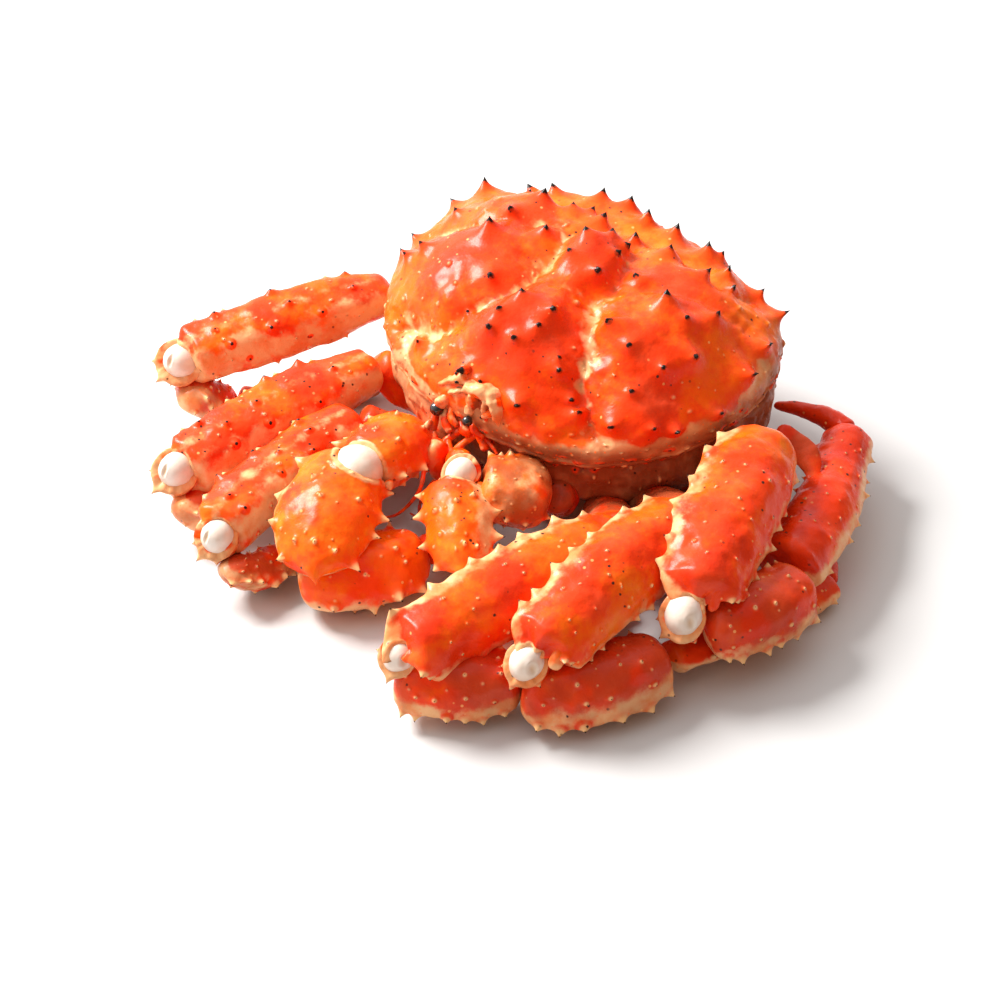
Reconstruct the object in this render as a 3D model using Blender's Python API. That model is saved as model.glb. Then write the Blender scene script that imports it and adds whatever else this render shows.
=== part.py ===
"""A whole cooked king crab, lying belly down with its legs folded.

Metres, +Z up. The crab faces -Y and its left side is +X. The origin is on the resting plane, under the
middle of the crab. Sizes below are in millimetres, in the crab's own frame, and CENTRE moves that frame
so that the origin comes out in the middle.
"""

import math

import bmesh
import bpy
import numpy as np
from mathutils import Matrix, Vector

MM = 0.001
CENTRE = Vector((2.3, 77.3, 0.0))  # from the body's own frame to the middle of the whole crab
GAP = 0.5  # air between pieces that lie against each other

# ---- the body: a domed carapace with steep side walls, over a belly that rests on the ground
BODY_PLACE = Vector((-3.0, 3.0, 82.0))  # middle of the carapace's margin
BODY_TURN = (9.0, 5.2, -3.5)  # degrees: rear up, left side down, turned to its right
HALF_WIDTH = 111.0
FRONT_LENGTH = 98.0  # from the middle to the beak
REAR_LENGTH = 84.0
FRONT_SQUARENESS = 2.27  # of the outline, 2 would be an ellipse
REAR_SQUARENESS = 2.45
REAR_FLARE = 0.03
DOME_HEIGHT = 43.0
DOME_LEAN = -10.0  # the top lies in front of the middle
DOME_POWERS = (2.2, 0.62)  # how flat the top is, how steep the edge
WALL = (  # down the side wall: share of the outline, height under the margin
    (1.0, 0.0),
    (0.99, -6.0),
    (0.93, -14.0),
    (0.94, -28.0),
    (0.86, -42.0),
)
BELLY = ((0.0, -42.8), (0.74, -42.8), (0.76, -52.0), (0.68, -64.0), (0.52, -90.0), (0.0, -96.0))
LOBES = (  # bulges of the dome: x, y, height, radius; the first three lie on the midline
    (0.0, -52.0, 7.0, 34.0),
    (0.0, 10.0, 6.0, 24.0),
    (0.0, 55.0, 3.0, 26.0),
    (62.0, -8.0, 7.0, 34.0),
)
# spines in mirrored pairs: x, y in the carapace's own plane, height
DOME_SPINES = (
    (9, -41, 5), (13, -57, 5), (9, -68, 4), (26, -63, 4), (46, -72, 5), (30, -88, 5),
    (9, -4, 6), (11, 17, 6), (6, 31, 5), (24, 45, 7), (11, 69, 7), (31, 11, 5),
    (40, -29, 6), (56, 3, 6), (57, 20, 6), (53, 41, 7), (62, -33, 5), (81, -20, 6),
    (78, 22, 6), (91, 6, 5), (36, 67, 7), (57, 60, 7),
)  # fmt: skip
MARGIN_SPINES = (  # degrees from straight left towards the rear, height
    (-72, 5), (-58, 5), (-46, 6), (-36, 6), (-27, 5), (-8, 6),
    (8, 6), (23, 7), (37, 8), (50, 8), (66, 7), (82, 6),
)  # fmt: skip
MARGIN_SPINE_RISE = 25.0  # how far the margin's spines point up: about 100 would be 45 degrees
SPINE_FOOT = 0.42  # width of a spine's foot on the body, as a share of the facet that it stands on

# ---- what each kind of segment looks like along its length
# taper: share of the length, share of the half sizes; caps: length of the rounded ends in mm;
# sides and rings: how finely it is faceted; spine: height of the spines on its upper side, 0 for none
FORMS = {
    "base": {"taper": ((0, 0.85), (0.5, 1.0), (1, 0.8)), "caps": (5, 6), "sides": 8, "rings": 5, "spine": 0},
    "merus": {
        "taper": ((0, 0.66), (0.2, 0.92), (0.5, 1.0), (0.85, 0.88), (1, 0.8)),
        "caps": (8, 4),
        "sides": 12,
        "rings": 8,
        "spine": 5,
    },
    "carpus": {
        "taper": ((0, 0.74), (0.3, 0.95), (0.7, 1.0), (1, 0.76)),
        "caps": (5, 6),
        "sides": 12,
        "rings": 6,
        "spine": 5,
    },
    "propodus": {
        "taper": ((0, 0.76), (0.25, 0.96), (0.7, 1.0), (1, 0.7)),
        "caps": (5, 5),
        "sides": 10,
        "rings": 6,
        "spine": 4,
    },
    "dactyl": {
        "taper": ((0, 1.0), (0.5, 0.76), (1, 0.2)),
        "caps": (3, 4),
        "sides": 8,
        "rings": 5,
        "spine": 0,
    },
    "palm": {
        "taper": ((0, 0.72), (0.35, 1.0), (0.75, 0.95), (1, 0.62)),
        "caps": (8, 6),
        "sides": 12,
        "rings": 7,
        "spine": 5,
    },
    "finger": {
        "taper": ((0, 1.0), (0.5, 0.8), (1, 0.25)),
        "caps": (3, 4),
        "sides": 8,
        "rings": 5,
        "spine": 0,
    },
    "flap": {"taper": ((0, 0.8), (0.4, 1.0), (1, 0.5)), "caps": (5, 8), "sides": 12, "rings": 6, "spine": 0},
}
CAP_POWER = 2.4  # how square the rounded ends are
SPINE_ROWS = 7  # along the segment
SPINE_COLUMN = 30  # degrees between the columns of spines
SPINED_LENGTH = (0.1, 0.92)  # share of the segment that bears spines
# ---- the limbs: start, middle, end, (half width, half height), the way the back of the segment faces
LIMBS = {
    "leg_l1": {
        "base": ((56, -62, 18), (78, -86, 31), (95, -106, 46), (14, 13), (0, 0, 1)),
        "merus": ((96, -107, 47), (80, -171, 49), (60, -233, 42), (19.5, 15.5), (0.6, -0.35, 0.7)),
        "carpus": ((51, -236, 20), (76, -222, 19.5), (101, -199, 18), (16.5, 14.5), (0.3, -0.5, 0.8)),
        "propodus": ((97, -195, 13), (94, -148, 10), (92, -106, 10), (12, 10.5), (0, 0, 1)),
        "dactyl": ((92, -107, 10), (102, -89, 9.5), (118, -78, 9), (6, 5), (0, 0, 1)),
    },
    "leg_l2": {
        "base": ((66, -42, 18), (98, -62, 33), (120, -83, 57), (14, 13.5), (0, 0, 1)),
        "merus": ((120, -84, 59), (119, -148, 57), (115, -198, 48), (21, 15.5), (0.5, -0.1, 0.8)),
        "carpus": ((106, -205, 20), (132, -184, 19.5), (149, -147, 22), (18, 15.5), (0.3, -0.5, 0.8)),
        "propodus": ((150, -142, 16), (167, -84, 10), (181, -33, 9), (12, 8.5), (0, 0, 1)),
        "dactyl": ((180, -34, 9), (168, -17, 8), (151, -11, 8), (5.5, 5), (0, 0, 1)),
    },
    "leg_l3": {
        "base": ((74, -8, 20), (107, -11, 37), (129, -17, 63), (15, 14), (0, 0, 1)),
        "merus": ((128, -12, 66), (143, -78, 63), (157, -125, 53), (23, 16), (0.4, 0, 0.9)),
        "carpus": ((163, -130, 33), (176, -103, 33), (184, -69, 32), (17, 14), (0.5, -0.5, 0.7)),
        "propodus": ((171, -64, 32), (160, -4, 33), (139, 56, 34), (16, 13.5), (0.3, -0.3, 0.9)),
        "dactyl": ((138, 56, 34.5), (116, 61, 36), (92, 55, 35), (7.5, 7), (0, 0, 1)),
    },
    "leg_r1": {
        "base": ((-44, -66, 18), (-63, -86, 30), (-80, -101, 43), (13.5, 12.5), (0, 0, 1)),
        "merus": ((-78, -105, 45), (-84, -163, 41), (-82, -214, 37), (17, 15.5), (0.5, -0.5, 0.6)),
        "carpus": ((-71, -220, 27), (-66, -211, 15), (-64, -185, 11), (13, 10), (0, 0, 1)),
        "propodus": ((-65, -181, 10), (-76, -130, 8), (-84, -92, 8), (10.5, 8), (0, 0, 1)),
        "dactyl": ((-84, -93, 8), (-87, -74, 7), (-87, -58, 6), (5, 4), (0, 0, 1)),
    },
    "leg_r2": {
        "base": ((-60, -38, 22), (-84, -50, 36), (-99, -62, 50), (13.5, 12.5), (0, 0, 1)),
        "merus": ((-96, -65, 52), (-114, -128, 47), (-129, -187, 42), (18, 16), (0.5, -0.55, 0.6)),
        "carpus": ((-122, -196, 31), (-119, -187, 17), (-116, -161, 12), (13, 11), (0, 0, 1)),
        "propodus": ((-117, -157, 11.5), (-120, -115, 10), (-108, -82, 10), (11, 9), (0, 0, 1)),
        "dactyl": ((-107, -83, 10), (-101, -60, 8), (-99, -42, 7), (5, 4.5), (0, 0, 1)),
    },
    "leg_r3": {
        "base": ((-74, -4, 30), (-106, -6, 45), (-127, -10, 58), (14, 13), (0, 0, 1)),
        "merus": ((-129, -8, 60), (-160, -66, 56), (-189, -114, 49), (17, 16.5), (0.55, -0.5, 0.65)),
        "carpus": ((-184, -123, 35), (-181, -112, 21), (-172, -97, 14), (13, 11.5), (0, 0, 1)),
        "propodus": ((-174, -95, 13), (-149, -65, 10), (-123, -28, 10), (11, 10), (0, 0, 1)),
        "dactyl": ((-123, -29, 10), (-113, 2, 10), (-101, 26, 9), (5.5, 5), (0, 0, 1)),
    },
    "claw_l": {
        "base": ((24, -58, 16), (36, -76, 28), (43, -90, 41), (12, 11), (0, 0, 1)),
        "merus": ((44, -94, 41), (30, -107, 47), (15, -117, 50), (20, 17), (0, -0.3, 0.9)),
        "carpus": ((2, -124, 50), (21, -143, 43), (40, -163, 33), (16, 14), (0.3, -0.5, 0.8)),
        "palm": ((48, -172, 18), (59, -152, 12), (64, -128, 11.5), (12.5, 11.5), (0, 0, 1)),
        "finger": ((64, -129, 11.5), (58, -108, 12), (50, -96, 12), (6.5, 6), (0, 0, 1)),
    },
    "claw_r": {
        "base": ((-22, -66, 20), (-34, -84, 33), (-45, -98, 44), (13, 12), (0, 0, 1)),
        "merus": ((-47, -98, 45), (-42, -121, 51), (-41, -145, 54), (21, 18), (0, -0.3, 0.9)),
        "carpus": ((-46, -149, 53), (-35, -182, 45), (-21, -208, 33), (23, 17), (0.3, -0.5, 0.8)),
        "palm": ((-35, -207, 18), (-13, -178, 20), (2, -149, 21), (19, 17.5), (0.2, -0.3, 0.9)),
        "finger": ((2, -150, 21), (9, -121, 15.5), (16, -104, 11), (8, 7), (0, 0, 1)),
    },
}
# the soft white joint between the second and third segment of each limb: middle, radii
JOINTS = {
    "leg_l1_knee": ((55, -236, 37), (9.5, 7.5, 8.5)),
    "leg_l2_knee": ((110, -206, 40), (10.5, 8.5, 9.5)),
    "leg_l3_knee": ((155, -137, 45), (11, 9.5, 10)),
    "leg_r1_knee": ((-80, -217, 36), (9.5, 8.5, 9.5)),
    "leg_r2_knee": ((-130, -192, 42), (10.5, 9, 10)),
    "leg_r3_knee": ((-193, -118, 46), (10.5, 9.5, 10.5)),
    "claw_l_wrist": ((6, -121, 55), (8.5, 8, 10)),
    "claw_r_wrist": ((-40, -151, 56), (13.5, 13.5, 13.5)),
}
# where two pieces lie pressed together, the first gives way to the second
PRESSED = (
    ("leg_l1_merus", "leg_l2_merus"),
    ("leg_l2_merus", "leg_l3_merus"),
    ("leg_l3_carpus", "leg_l3_merus"),
    ("claw_l_carpus", "claw_l_merus"),
    ("claw_r_palm", "claw_r_carpus"),
    ("claw_r_base", "leg_r1_base"),
    ("leg_l1_carpus", "leg_l1_merus"),
    ("leg_r1_carpus", "leg_r1_merus"),
    ("leg_r2_carpus", "leg_r2_merus"),
    ("leg_r3_carpus", "leg_r3_merus"),
    ("mouthparts_r", "claw_r_merus"),
)
ABDOMEN = ((-6, 73, 56), (-5, 83, 28), (-4, 60, 5), (50, 9), (0, 1, 0.3))
EYES = {"eye_l": ((-7, -98, 71), 2.9), "eye_r": ((-29, -95.5, 68.5), 3.9)}
MOUTHPARTS = {"mouthparts_l": (-6, -107, 44), "mouthparts_r": (-21, -107, 44)}
MOUTHPART_SIZE = (6.5, 7, 11)
ANTENNAE = {
    "antenna_l": ((-13, -119, 42), (-20, -122, 28), (-26, -118, 12), (-36, -112, 5)),
    "antenna_r": ((-18, -121, 50), (-14, -132, 42), (-21, -142, 30), (-37, -142, 21)),
}
ANTENNA_RADIUS = 1.2

COLOURS = {
    "shell": ((0.86, 0.13, 0.025), 0.28),
    "shell_pale": ((0.90, 0.62, 0.38), 0.40),
    "membrane": ((0.93, 0.87, 0.80), 0.35),
    "eye": ((0.02, 0.015, 0.012), 0.15),
}


def material(name):
    made = bpy.data.materials.get(name)
    if made is None:
        colour, roughness = COLOURS[name]
        made = bpy.data.materials.new(name)
        made.use_nodes = True
        shader = made.node_tree.nodes["Principled BSDF"]
        shader.inputs["Base Color"].default_value = (*colour, 1.0)
        shader.inputs["Roughness"].default_value = roughness
    return made


def finish(name, mesh_editor, origin, slot, parent, collection):
    """Makes the edited mesh, given in the crab's frame in mm, an object whose origin is at origin."""
    bmesh.ops.recalc_face_normals(mesh_editor, faces=mesh_editor.faces)
    origin = Vector(origin)
    for vertex in mesh_editor.verts:
        vertex.co.z = max(vertex.co.z, 0.0)  # a flat spot where the piece lies on the ground
        vertex.co = (vertex.co - origin) * MM
    mesh = bpy.data.meshes.new(name)
    mesh_editor.to_mesh(mesh)
    mesh_editor.free()
    mesh.shade_smooth()
    mesh.materials.append(material(slot))
    made = bpy.data.objects.new(name, mesh)
    made.location = origin * MM
    made.parent = parent
    collection.objects.link(made)
    return made


# ---- the body's own shape -------------------------------------------------------------------------
def body_matrix():
    pitch, roll, yaw = (math.radians(a) for a in BODY_TURN)
    turn = Matrix.Rotation(yaw, 4, "Z") @ Matrix.Rotation(roll, 4, "Y") @ Matrix.Rotation(pitch, 4, "X")
    return Matrix.Translation(BODY_PLACE) @ turn


def outline(angle):
    """The margin's point at this angle, in the carapace's own plane."""
    c, s = math.cos(angle), math.sin(angle)
    length, power = (FRONT_LENGTH, FRONT_SQUARENESS) if s < 0 else (REAR_LENGTH, REAR_SQUARENESS)
    reach = (abs(c) ** power + abs(s) ** power) ** (-1 / power)
    return HALF_WIDTH * reach * c * (1 + REAR_FLARE * reach * s), length * reach * s


def lobes(x, y):
    return sum(
        height * math.exp(-(((abs(x) if at_x else x) - at_x) ** 2 + (y - at_y) ** 2) / radius**2)
        for at_x, at_y, height, radius in LOBES
    )


def dome_rise(share):
    """Share of the dome's height at this share of the way to the margin."""
    flat, steep = DOME_POWERS
    return (1 - share**flat) ** steep


def dome_point(angle, share):
    """A point of the dome: share is 0 at the top and 1 at the margin."""
    edge_x, edge_y = outline(angle)
    rise = dome_rise(share)
    x, y = edge_x * share, edge_y * share + DOME_LEAN * rise
    return Vector((x, y, DOME_HEIGHT * rise + lobes(x, y) * min(1.0, 3 * (1 - share))))


def profile_point(profile, angle, along):
    """A point of a wall or belly profile; along runs from 0 to 1 down the list."""
    place = along * (len(profile) - 1)
    first = min(int(place), len(profile) - 2)
    part = place - first
    share, height = (a + (b - a) * part for a, b in zip(profile[first], profile[first + 1]))
    edge_x, edge_y = outline(angle)
    return Vector((edge_x * share, edge_y * share, height))


def dome_place(x, y):
    """angle and share of the dome's point over x, y."""
    share, angle = 0.5, 0.0
    for _ in range(12):
        lean = DOME_LEAN * dome_rise(share)
        angle = math.atan2(y - lean, x)
        edge_x, edge_y = outline(angle)
        share = min(math.hypot(x, y - lean) / math.hypot(edge_x, edge_y), 0.97)
    return angle, share


def dome_normal(point):
    """Roughly the way the dome faces at a point of it."""
    down = Vector((point.x / HALF_WIDTH**2, point.y / FRONT_LENGTH**2, point.z / DOME_HEIGHT**2))
    return (down + Vector((0, 0, 0.2 / DOME_HEIGHT))).normalized()


def body_sphere(segments, rings):
    """A sphere, and for each of its vertices the angle round it and the angle down from its top."""
    editor = bmesh.new()
    bmesh.ops.create_uvsphere(editor, u_segments=segments, v_segments=rings, radius=1.0)
    places = []
    for vertex in editor.verts:
        x, y, z = vertex.co
        places.append((vertex, math.atan2(y, x), math.acos(max(-1.0, min(1.0, z)))))
    return editor, places


def add_spine(editor, foot, tip, used):
    """Draws the free face nearest to foot out to a cone that ends at tip."""
    editor.faces.ensure_lookup_table()
    free = [face for face in editor.faces if face not in used and len(face.verts) == 4]
    face = min(free, key=lambda f: (f.calc_center_median() - foot).length)
    used.update(corner_face for vertex in face.verts for corner_face in vertex.link_faces)
    bmesh.ops.inset_individual(editor, faces=[face], thickness=0.0)
    for vertex in face.verts:
        vertex.co = foot + (vertex.co - foot) * SPINE_FOOT
    apex = bmesh.ops.poke(editor, faces=[face])["verts"][0]
    apex.co = tip


def carapace(parent, collection):
    editor, places = body_sphere(segments=28, rings=16)
    for vertex, angle, down in places:
        turns = down / (math.pi / 2)
        if turns <= 1.0:
            vertex.co = dome_point(angle, math.sin(down))
        else:
            vertex.co = profile_point((*WALL, (0.0, WALL[-1][1])), angle, min(1.0, turns - 1.0))
    bmesh.ops.recalc_face_normals(editor, faces=editor.faces)
    used = set()
    for side in (1, -1):
        for angle, height in MARGIN_SPINES:
            foot = dome_point(math.pi / 2 - side * math.radians(90 - angle), 0.985)
            outward = Vector((foot.x, foot.y, MARGIN_SPINE_RISE)).normalized()
            add_spine(editor, foot, foot + outward * height, used)
        for x, y, height in DOME_SPINES:
            angle, share = dome_place(side * x, y)
            foot = dome_point(angle, share)
            add_spine(editor, foot, foot + dome_normal(foot) * height, used)
    bmesh.ops.transform(editor, matrix=body_matrix(), verts=editor.verts)
    return finish("carapace", editor, BODY_PLACE, "shell", parent, collection)


def underbody(parent, collection):
    editor, places = body_sphere(segments=20, rings=12)
    for vertex, angle, down in places:
        vertex.co = profile_point(BELLY, angle, down / math.pi)
    bmesh.ops.transform(editor, matrix=body_matrix(), verts=editor.verts)
    return finish("underbody", editor, BODY_PLACE, "shell_pale", parent, collection)


# ---- limb segments --------------------------------------------------------------------------------
def taper_at(taper, along):
    """Smooth interpolation through the taper's stations."""
    places, sizes = zip(*taper)
    slopes = np.gradient(np.array(sizes, float), np.array(places, float))
    i = int(np.clip(np.searchsorted(places, along, side="right") - 1, 0, len(places) - 2))
    step = places[i + 1] - places[i]
    t = (along - places[i]) / step
    return (
        (2 * t**3 - 3 * t**2 + 1) * sizes[i]
        + (t**3 - 2 * t**2 + t) * step * slopes[i]
        + (3 * t**2 - 2 * t**3) * sizes[i + 1]
        + (t**3 - t**2) * step * slopes[i + 1]
    )


def segment_frame(start, middle, end, back, along):
    """Point on the segment's bent axis, with its sideways and backward directions."""
    start, middle, end = Vector(start), Vector(middle), Vector(end)
    control = 2 * middle - (start + end) / 2
    point = start * (1 - along) ** 2 + control * 2 * along * (1 - along) + end * along**2
    forward = ((control - start) * (1 - along) + (end - control) * along).normalized()
    side = forward.cross(Vector(back)).normalized()
    return point, side, side.cross(forward)


def cap_size(distance, length):
    """Share of the full section at this distance from a rounded end."""
    if distance >= length:
        return 1.0
    return (1 - (1 - distance / length) ** CAP_POWER) ** (1 / CAP_POWER)


def segment_mesh(kind, start, middle, end, half, back):
    form = FORMS[kind]
    editor = bmesh.new()
    bmesh.ops.create_uvsphere(editor, u_segments=form["sides"], v_segments=form["rings"], radius=1.0)
    length = (Vector(middle) - Vector(start)).length + (Vector(end) - Vector(middle)).length
    for vertex in editor.verts:
        x, y, z = vertex.co
        along = min(1.0, max(0.0, (1 - z) / 2))
        around = math.atan2(y, x)
        point, side, up = segment_frame(start, middle, end, back, along)
        size = taper_at(form["taper"], along)
        size *= cap_size(along * length, form["caps"][0]) * cap_size((1 - along) * length, form["caps"][1])
        vertex.co = point + (side * half[0] * math.cos(around) + up * half[1] * math.sin(around)) * size
    bmesh.ops.recalc_face_normals(editor, faces=editor.faces)
    if form["spine"]:
        raise_spines(editor, start, middle, end, back, form["spine"])
    return editor


def raise_spines(editor, start, middle, end, back, height):
    """Pokes every other face of the upper side up to a small spine."""
    chosen = []
    whole = (Vector(end) - Vector(start)).length
    for face in editor.faces:
        centre = face.calc_center_median()
        along = (centre - Vector(start)).dot(Vector(end) - Vector(start)) / whole**2
        along = max(0.0, min(1.0, along))
        point, side, up = segment_frame(start, middle, end, back, along)
        around = math.degrees(math.atan2((centre - point).dot(up), (centre - point).dot(side))) % 360
        if len(face.verts) != 4 or around > 180 or not SPINED_LENGTH[0] < along < SPINED_LENGTH[1]:
            continue
        if (int(around // SPINE_COLUMN) + int(along * SPINE_ROWS)) % 2:
            chosen.append(face)
    for face in chosen:
        tip = face.calc_center_median() + face.normal * height
        apex = bmesh.ops.poke(editor, faces=[face])["verts"][0]
        apex.co = tip


def cutter_of(source, cutters, parent):
    """A hidden copy of a piece, swollen by the gap, that keeps its neighbours clear of it."""
    mesh = source.data.copy()
    outward = [vertex.normal.copy() for vertex in mesh.vertices]
    for vertex, direction in zip(mesh.vertices, outward):
        vertex.co += direction * GAP * MM
    made = bpy.data.objects.new(source.name + "_cutter", mesh)
    made.location = source.location
    made.parent = parent
    made.hide_render = True
    made.display_type = "WIRE"
    cutters.objects.link(made)
    return made


def cut(piece, cutter):
    modifier = piece.modifiers.new("clear_of_" + cutter.name, "BOOLEAN")
    modifier.operation = "DIFFERENCE"
    modifier.object = cutter


def limbs(parent, collection, body_cutters):
    for limb, segments in LIMBS.items():
        for kind, (start, middle, end, half, back) in segments.items():
            editor = segment_mesh(kind, start, middle, end, half, back)
            made = finish(f"{limb}_{kind}", editor, start, "shell", parent, collection)
            if kind == "base":
                for cutter in body_cutters:
                    cut(made, cutter)


def give_way(cutters, parent):
    """Hollows each piece where a firmer one is pressed into it."""
    pairs = list(PRESSED) + [(f"{limb}_base", f"{limb}_merus") for limb in LIMBS]
    for limb, segments in LIMBS.items():
        kinds = list(segments)
        pairs += [(f"{limb}_{kinds[k]}", f"{limb}_{kinds[k - 1]}") for k in (3, 4)]
    for joint in JOINTS:
        limb = joint.rsplit("_", 1)[0]
        pairs += [(f"{limb}_merus", joint), (f"{limb}_carpus", joint)]
    sockets = {}
    for name, other in pairs:
        if other not in sockets:
            sockets[other] = cutter_of(bpy.data.objects[other], cutters, parent)
        cut(bpy.data.objects[name], sockets[other])


def ball(name, middle, radii, slot, parent, collection):
    editor = bmesh.new()
    bmesh.ops.create_uvsphere(editor, u_segments=8, v_segments=6, radius=1.0)
    bmesh.ops.scale(editor, vec=radii, verts=editor.verts)
    bmesh.ops.translate(editor, vec=middle, verts=editor.verts)
    return finish(name, editor, middle, slot, parent, collection)


def antenna(name, points, parent, collection):
    """A thin tube along the points."""
    curve = bpy.data.curves.new(name, "CURVE")
    curve.dimensions = "3D"
    curve.bevel_depth = ANTENNA_RADIUS * MM
    curve.bevel_resolution = 1
    curve.resolution_u = 3
    curve.use_fill_caps = True
    spline = curve.splines.new("BEZIER")
    spline.bezier_points.add(len(points) - 1)
    for bezier_point, point in zip(spline.bezier_points, points):
        bezier_point.co = Vector(point) * MM
        bezier_point.handle_left_type = bezier_point.handle_right_type = "AUTO"
    curve.materials.append(material("shell"))
    made = bpy.data.objects.new(name, curve)
    made.parent = parent
    collection.objects.link(made)


def main():
    for old in list(bpy.data.objects):
        bpy.data.objects.remove(old, do_unlink=True)
    collection = bpy.data.collections.new("king_crab")
    cutters = bpy.data.collections.new("cutters")
    for made in (collection, cutters):
        bpy.context.scene.collection.children.link(made)
    bpy.context.view_layer.update()
    root = bpy.data.objects.new("crab_frame", None)
    root.location = CENTRE * MM
    collection.objects.link(root)

    shell = carapace(root, collection)
    belly = underbody(root, collection)
    body_cutters = [cutter_of(piece, cutters, root) for piece in (shell, belly)]
    limbs(root, collection, body_cutters)
    flap = finish("abdomen", segment_mesh("flap", *ABDOMEN), ABDOMEN[0], "shell_pale", root, collection)
    for cutter in body_cutters:
        cut(flap, cutter)
    for name, (middle, radii) in JOINTS.items():
        ball(name, middle, radii, "membrane", root, collection)
    for name, middle in MOUTHPARTS.items():
        ball(name, middle, MOUTHPART_SIZE, "shell", root, collection)
    give_way(cutters, root)
    for name, (middle, radius) in EYES.items():
        ball(name, middle, (radius,) * 3, "eye", root, collection)
    for name, points in ANTENNAE.items():
        antenna(name, points, root, collection)


main()
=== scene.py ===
"""The fine surface, materials, light and camera of a whole cooked king crab.

Lengths are in millimetres in the crab's own frame, which CENTRE moves to the middle of the whole crab. The
crab faces -Y and its left side is +X. Each piece is one surface of triangles: points are spread over a flat
map of it, closer together round its bumps, joined up there, and then laid over the piece's shape.

A bump is its x and y on the map, its radius, height and kind, and the way it leans. A shape is the start,
middle and end of a bent axis, half the width and height, and the way the back faces. A mask is a number from
0 to 1 at each point that the material reads. Angles round a segment are in degrees, from its +side.
"""

import math

import bpy
import numpy as np
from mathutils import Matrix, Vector
from mathutils.geometry import delaunay_2d_cdt

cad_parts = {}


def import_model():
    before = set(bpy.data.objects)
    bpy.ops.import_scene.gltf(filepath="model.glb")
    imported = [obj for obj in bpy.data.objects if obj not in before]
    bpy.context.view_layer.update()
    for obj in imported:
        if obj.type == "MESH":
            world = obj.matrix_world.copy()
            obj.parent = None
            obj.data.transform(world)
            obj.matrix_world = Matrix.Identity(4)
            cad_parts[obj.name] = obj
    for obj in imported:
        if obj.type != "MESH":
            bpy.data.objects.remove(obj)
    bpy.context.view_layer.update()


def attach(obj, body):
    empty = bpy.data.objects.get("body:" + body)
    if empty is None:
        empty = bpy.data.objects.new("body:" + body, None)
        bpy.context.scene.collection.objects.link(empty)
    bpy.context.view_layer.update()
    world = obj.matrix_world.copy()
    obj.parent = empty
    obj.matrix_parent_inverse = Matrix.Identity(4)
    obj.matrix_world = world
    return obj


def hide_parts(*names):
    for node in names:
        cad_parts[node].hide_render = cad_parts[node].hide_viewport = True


MM = 0.001
CENTRE = np.array([2.3, 77.3, 0.0])
TURN = 2 * math.pi
UP = (0, 0, 1)
UPRIGHT = (0, 0, 0)  # the lean of a bump that stands straight up

# ---- the body, as in the CAD
BODY_PLACE = np.array([-3.0, 3.0, 82.0])
BODY_TURN = (9.0, 5.2, -3.5)  # degrees: rear up, left side down, turned to its right
HALF_WIDTH = 111.0
FRONT_LENGTH = 98.0
REAR_LENGTH = 84.0
FRONT_SQUARENESS = 2.27
REAR_SQUARENESS = 2.45
REAR_FLARE = 0.03
DOME_HEIGHT = 43.0
DOME_LEAN = -10.0
DOME_POWERS = (2.2, 0.62)
LOBES = (  # x, y, height, radius; those off the midline are mirrored
    (0, -52, 7, 34), (0, 10, 6, 24), (-8, 60, -5, 30), (62, -8, 7, 34),
)  # fmt: skip
SPINES = (  # on the carapace: x, y in its own plane, height
    (-106, -14, 6), (-104, 19, 7), (-91, 4, 6), (-97, 35, 8), (-78, 55, 9), (-36, 36, 5), (-29, 43, 6),
    (-18, 39, 7), (-6, 63, 8), (12, 65, 8), (35, 65, 8), (54, 57, 7), (64, 49, 6), (84, 62, 8),
    (98, 32, 7), (-80, -33, 6), (-56, 8, 6), (-52, -14, 7), (-29, 4, 5), (-5, 10, 6), (-2, -5, 6),
    (12, 11, 7), (9, 24, 6), (14, -6, 7), (28, 39, 7), (51, 38, 8), (32, 8, 6), (-3, -46, 6),
    (-30, -40, 6), (-6, -58, 5), (-6, -67, 6), (10, -66, 6), (14, -44, 7), (15, -55, 4), (-10, -88, 5),
    (-47, -83, 5), (27, -86, 7), (56, -74, 6), (48, -71, 5), (36, -65, 5), (32, -61, 3), (3, -87, 4),
    (44, -29, 7), (58, -34, 4), (56, -1, 8), (76, 16, 7), (82, -14, 6), (76, -30, 4), (72, -50, 5),
    (73, -66, 7), (87, -54, 5), (96, -44, 7), (105, -20, 6), (103, 8, 7), (69, -2, 4), (5, 41, 6),
    (1, 23, 6), (-52, 29, 7), (-62, 55, 8), (-40, 66, 8), (-88, -38, 5), (-98, -32, 5), (-30, -62, 3),
    (-24, 70, 7), (22, 50, 5), (-66, 34, 5), (40, 70, 5), (70, 66, 6),
)  # fmt: skip
SPINE_LEAN = 0.14  # at most, to each side
SPINE_FOOT, SPINE_SPREAD = 4.2, 0.9  # its radius at the foot: this, and so much for each mm of height
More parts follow.
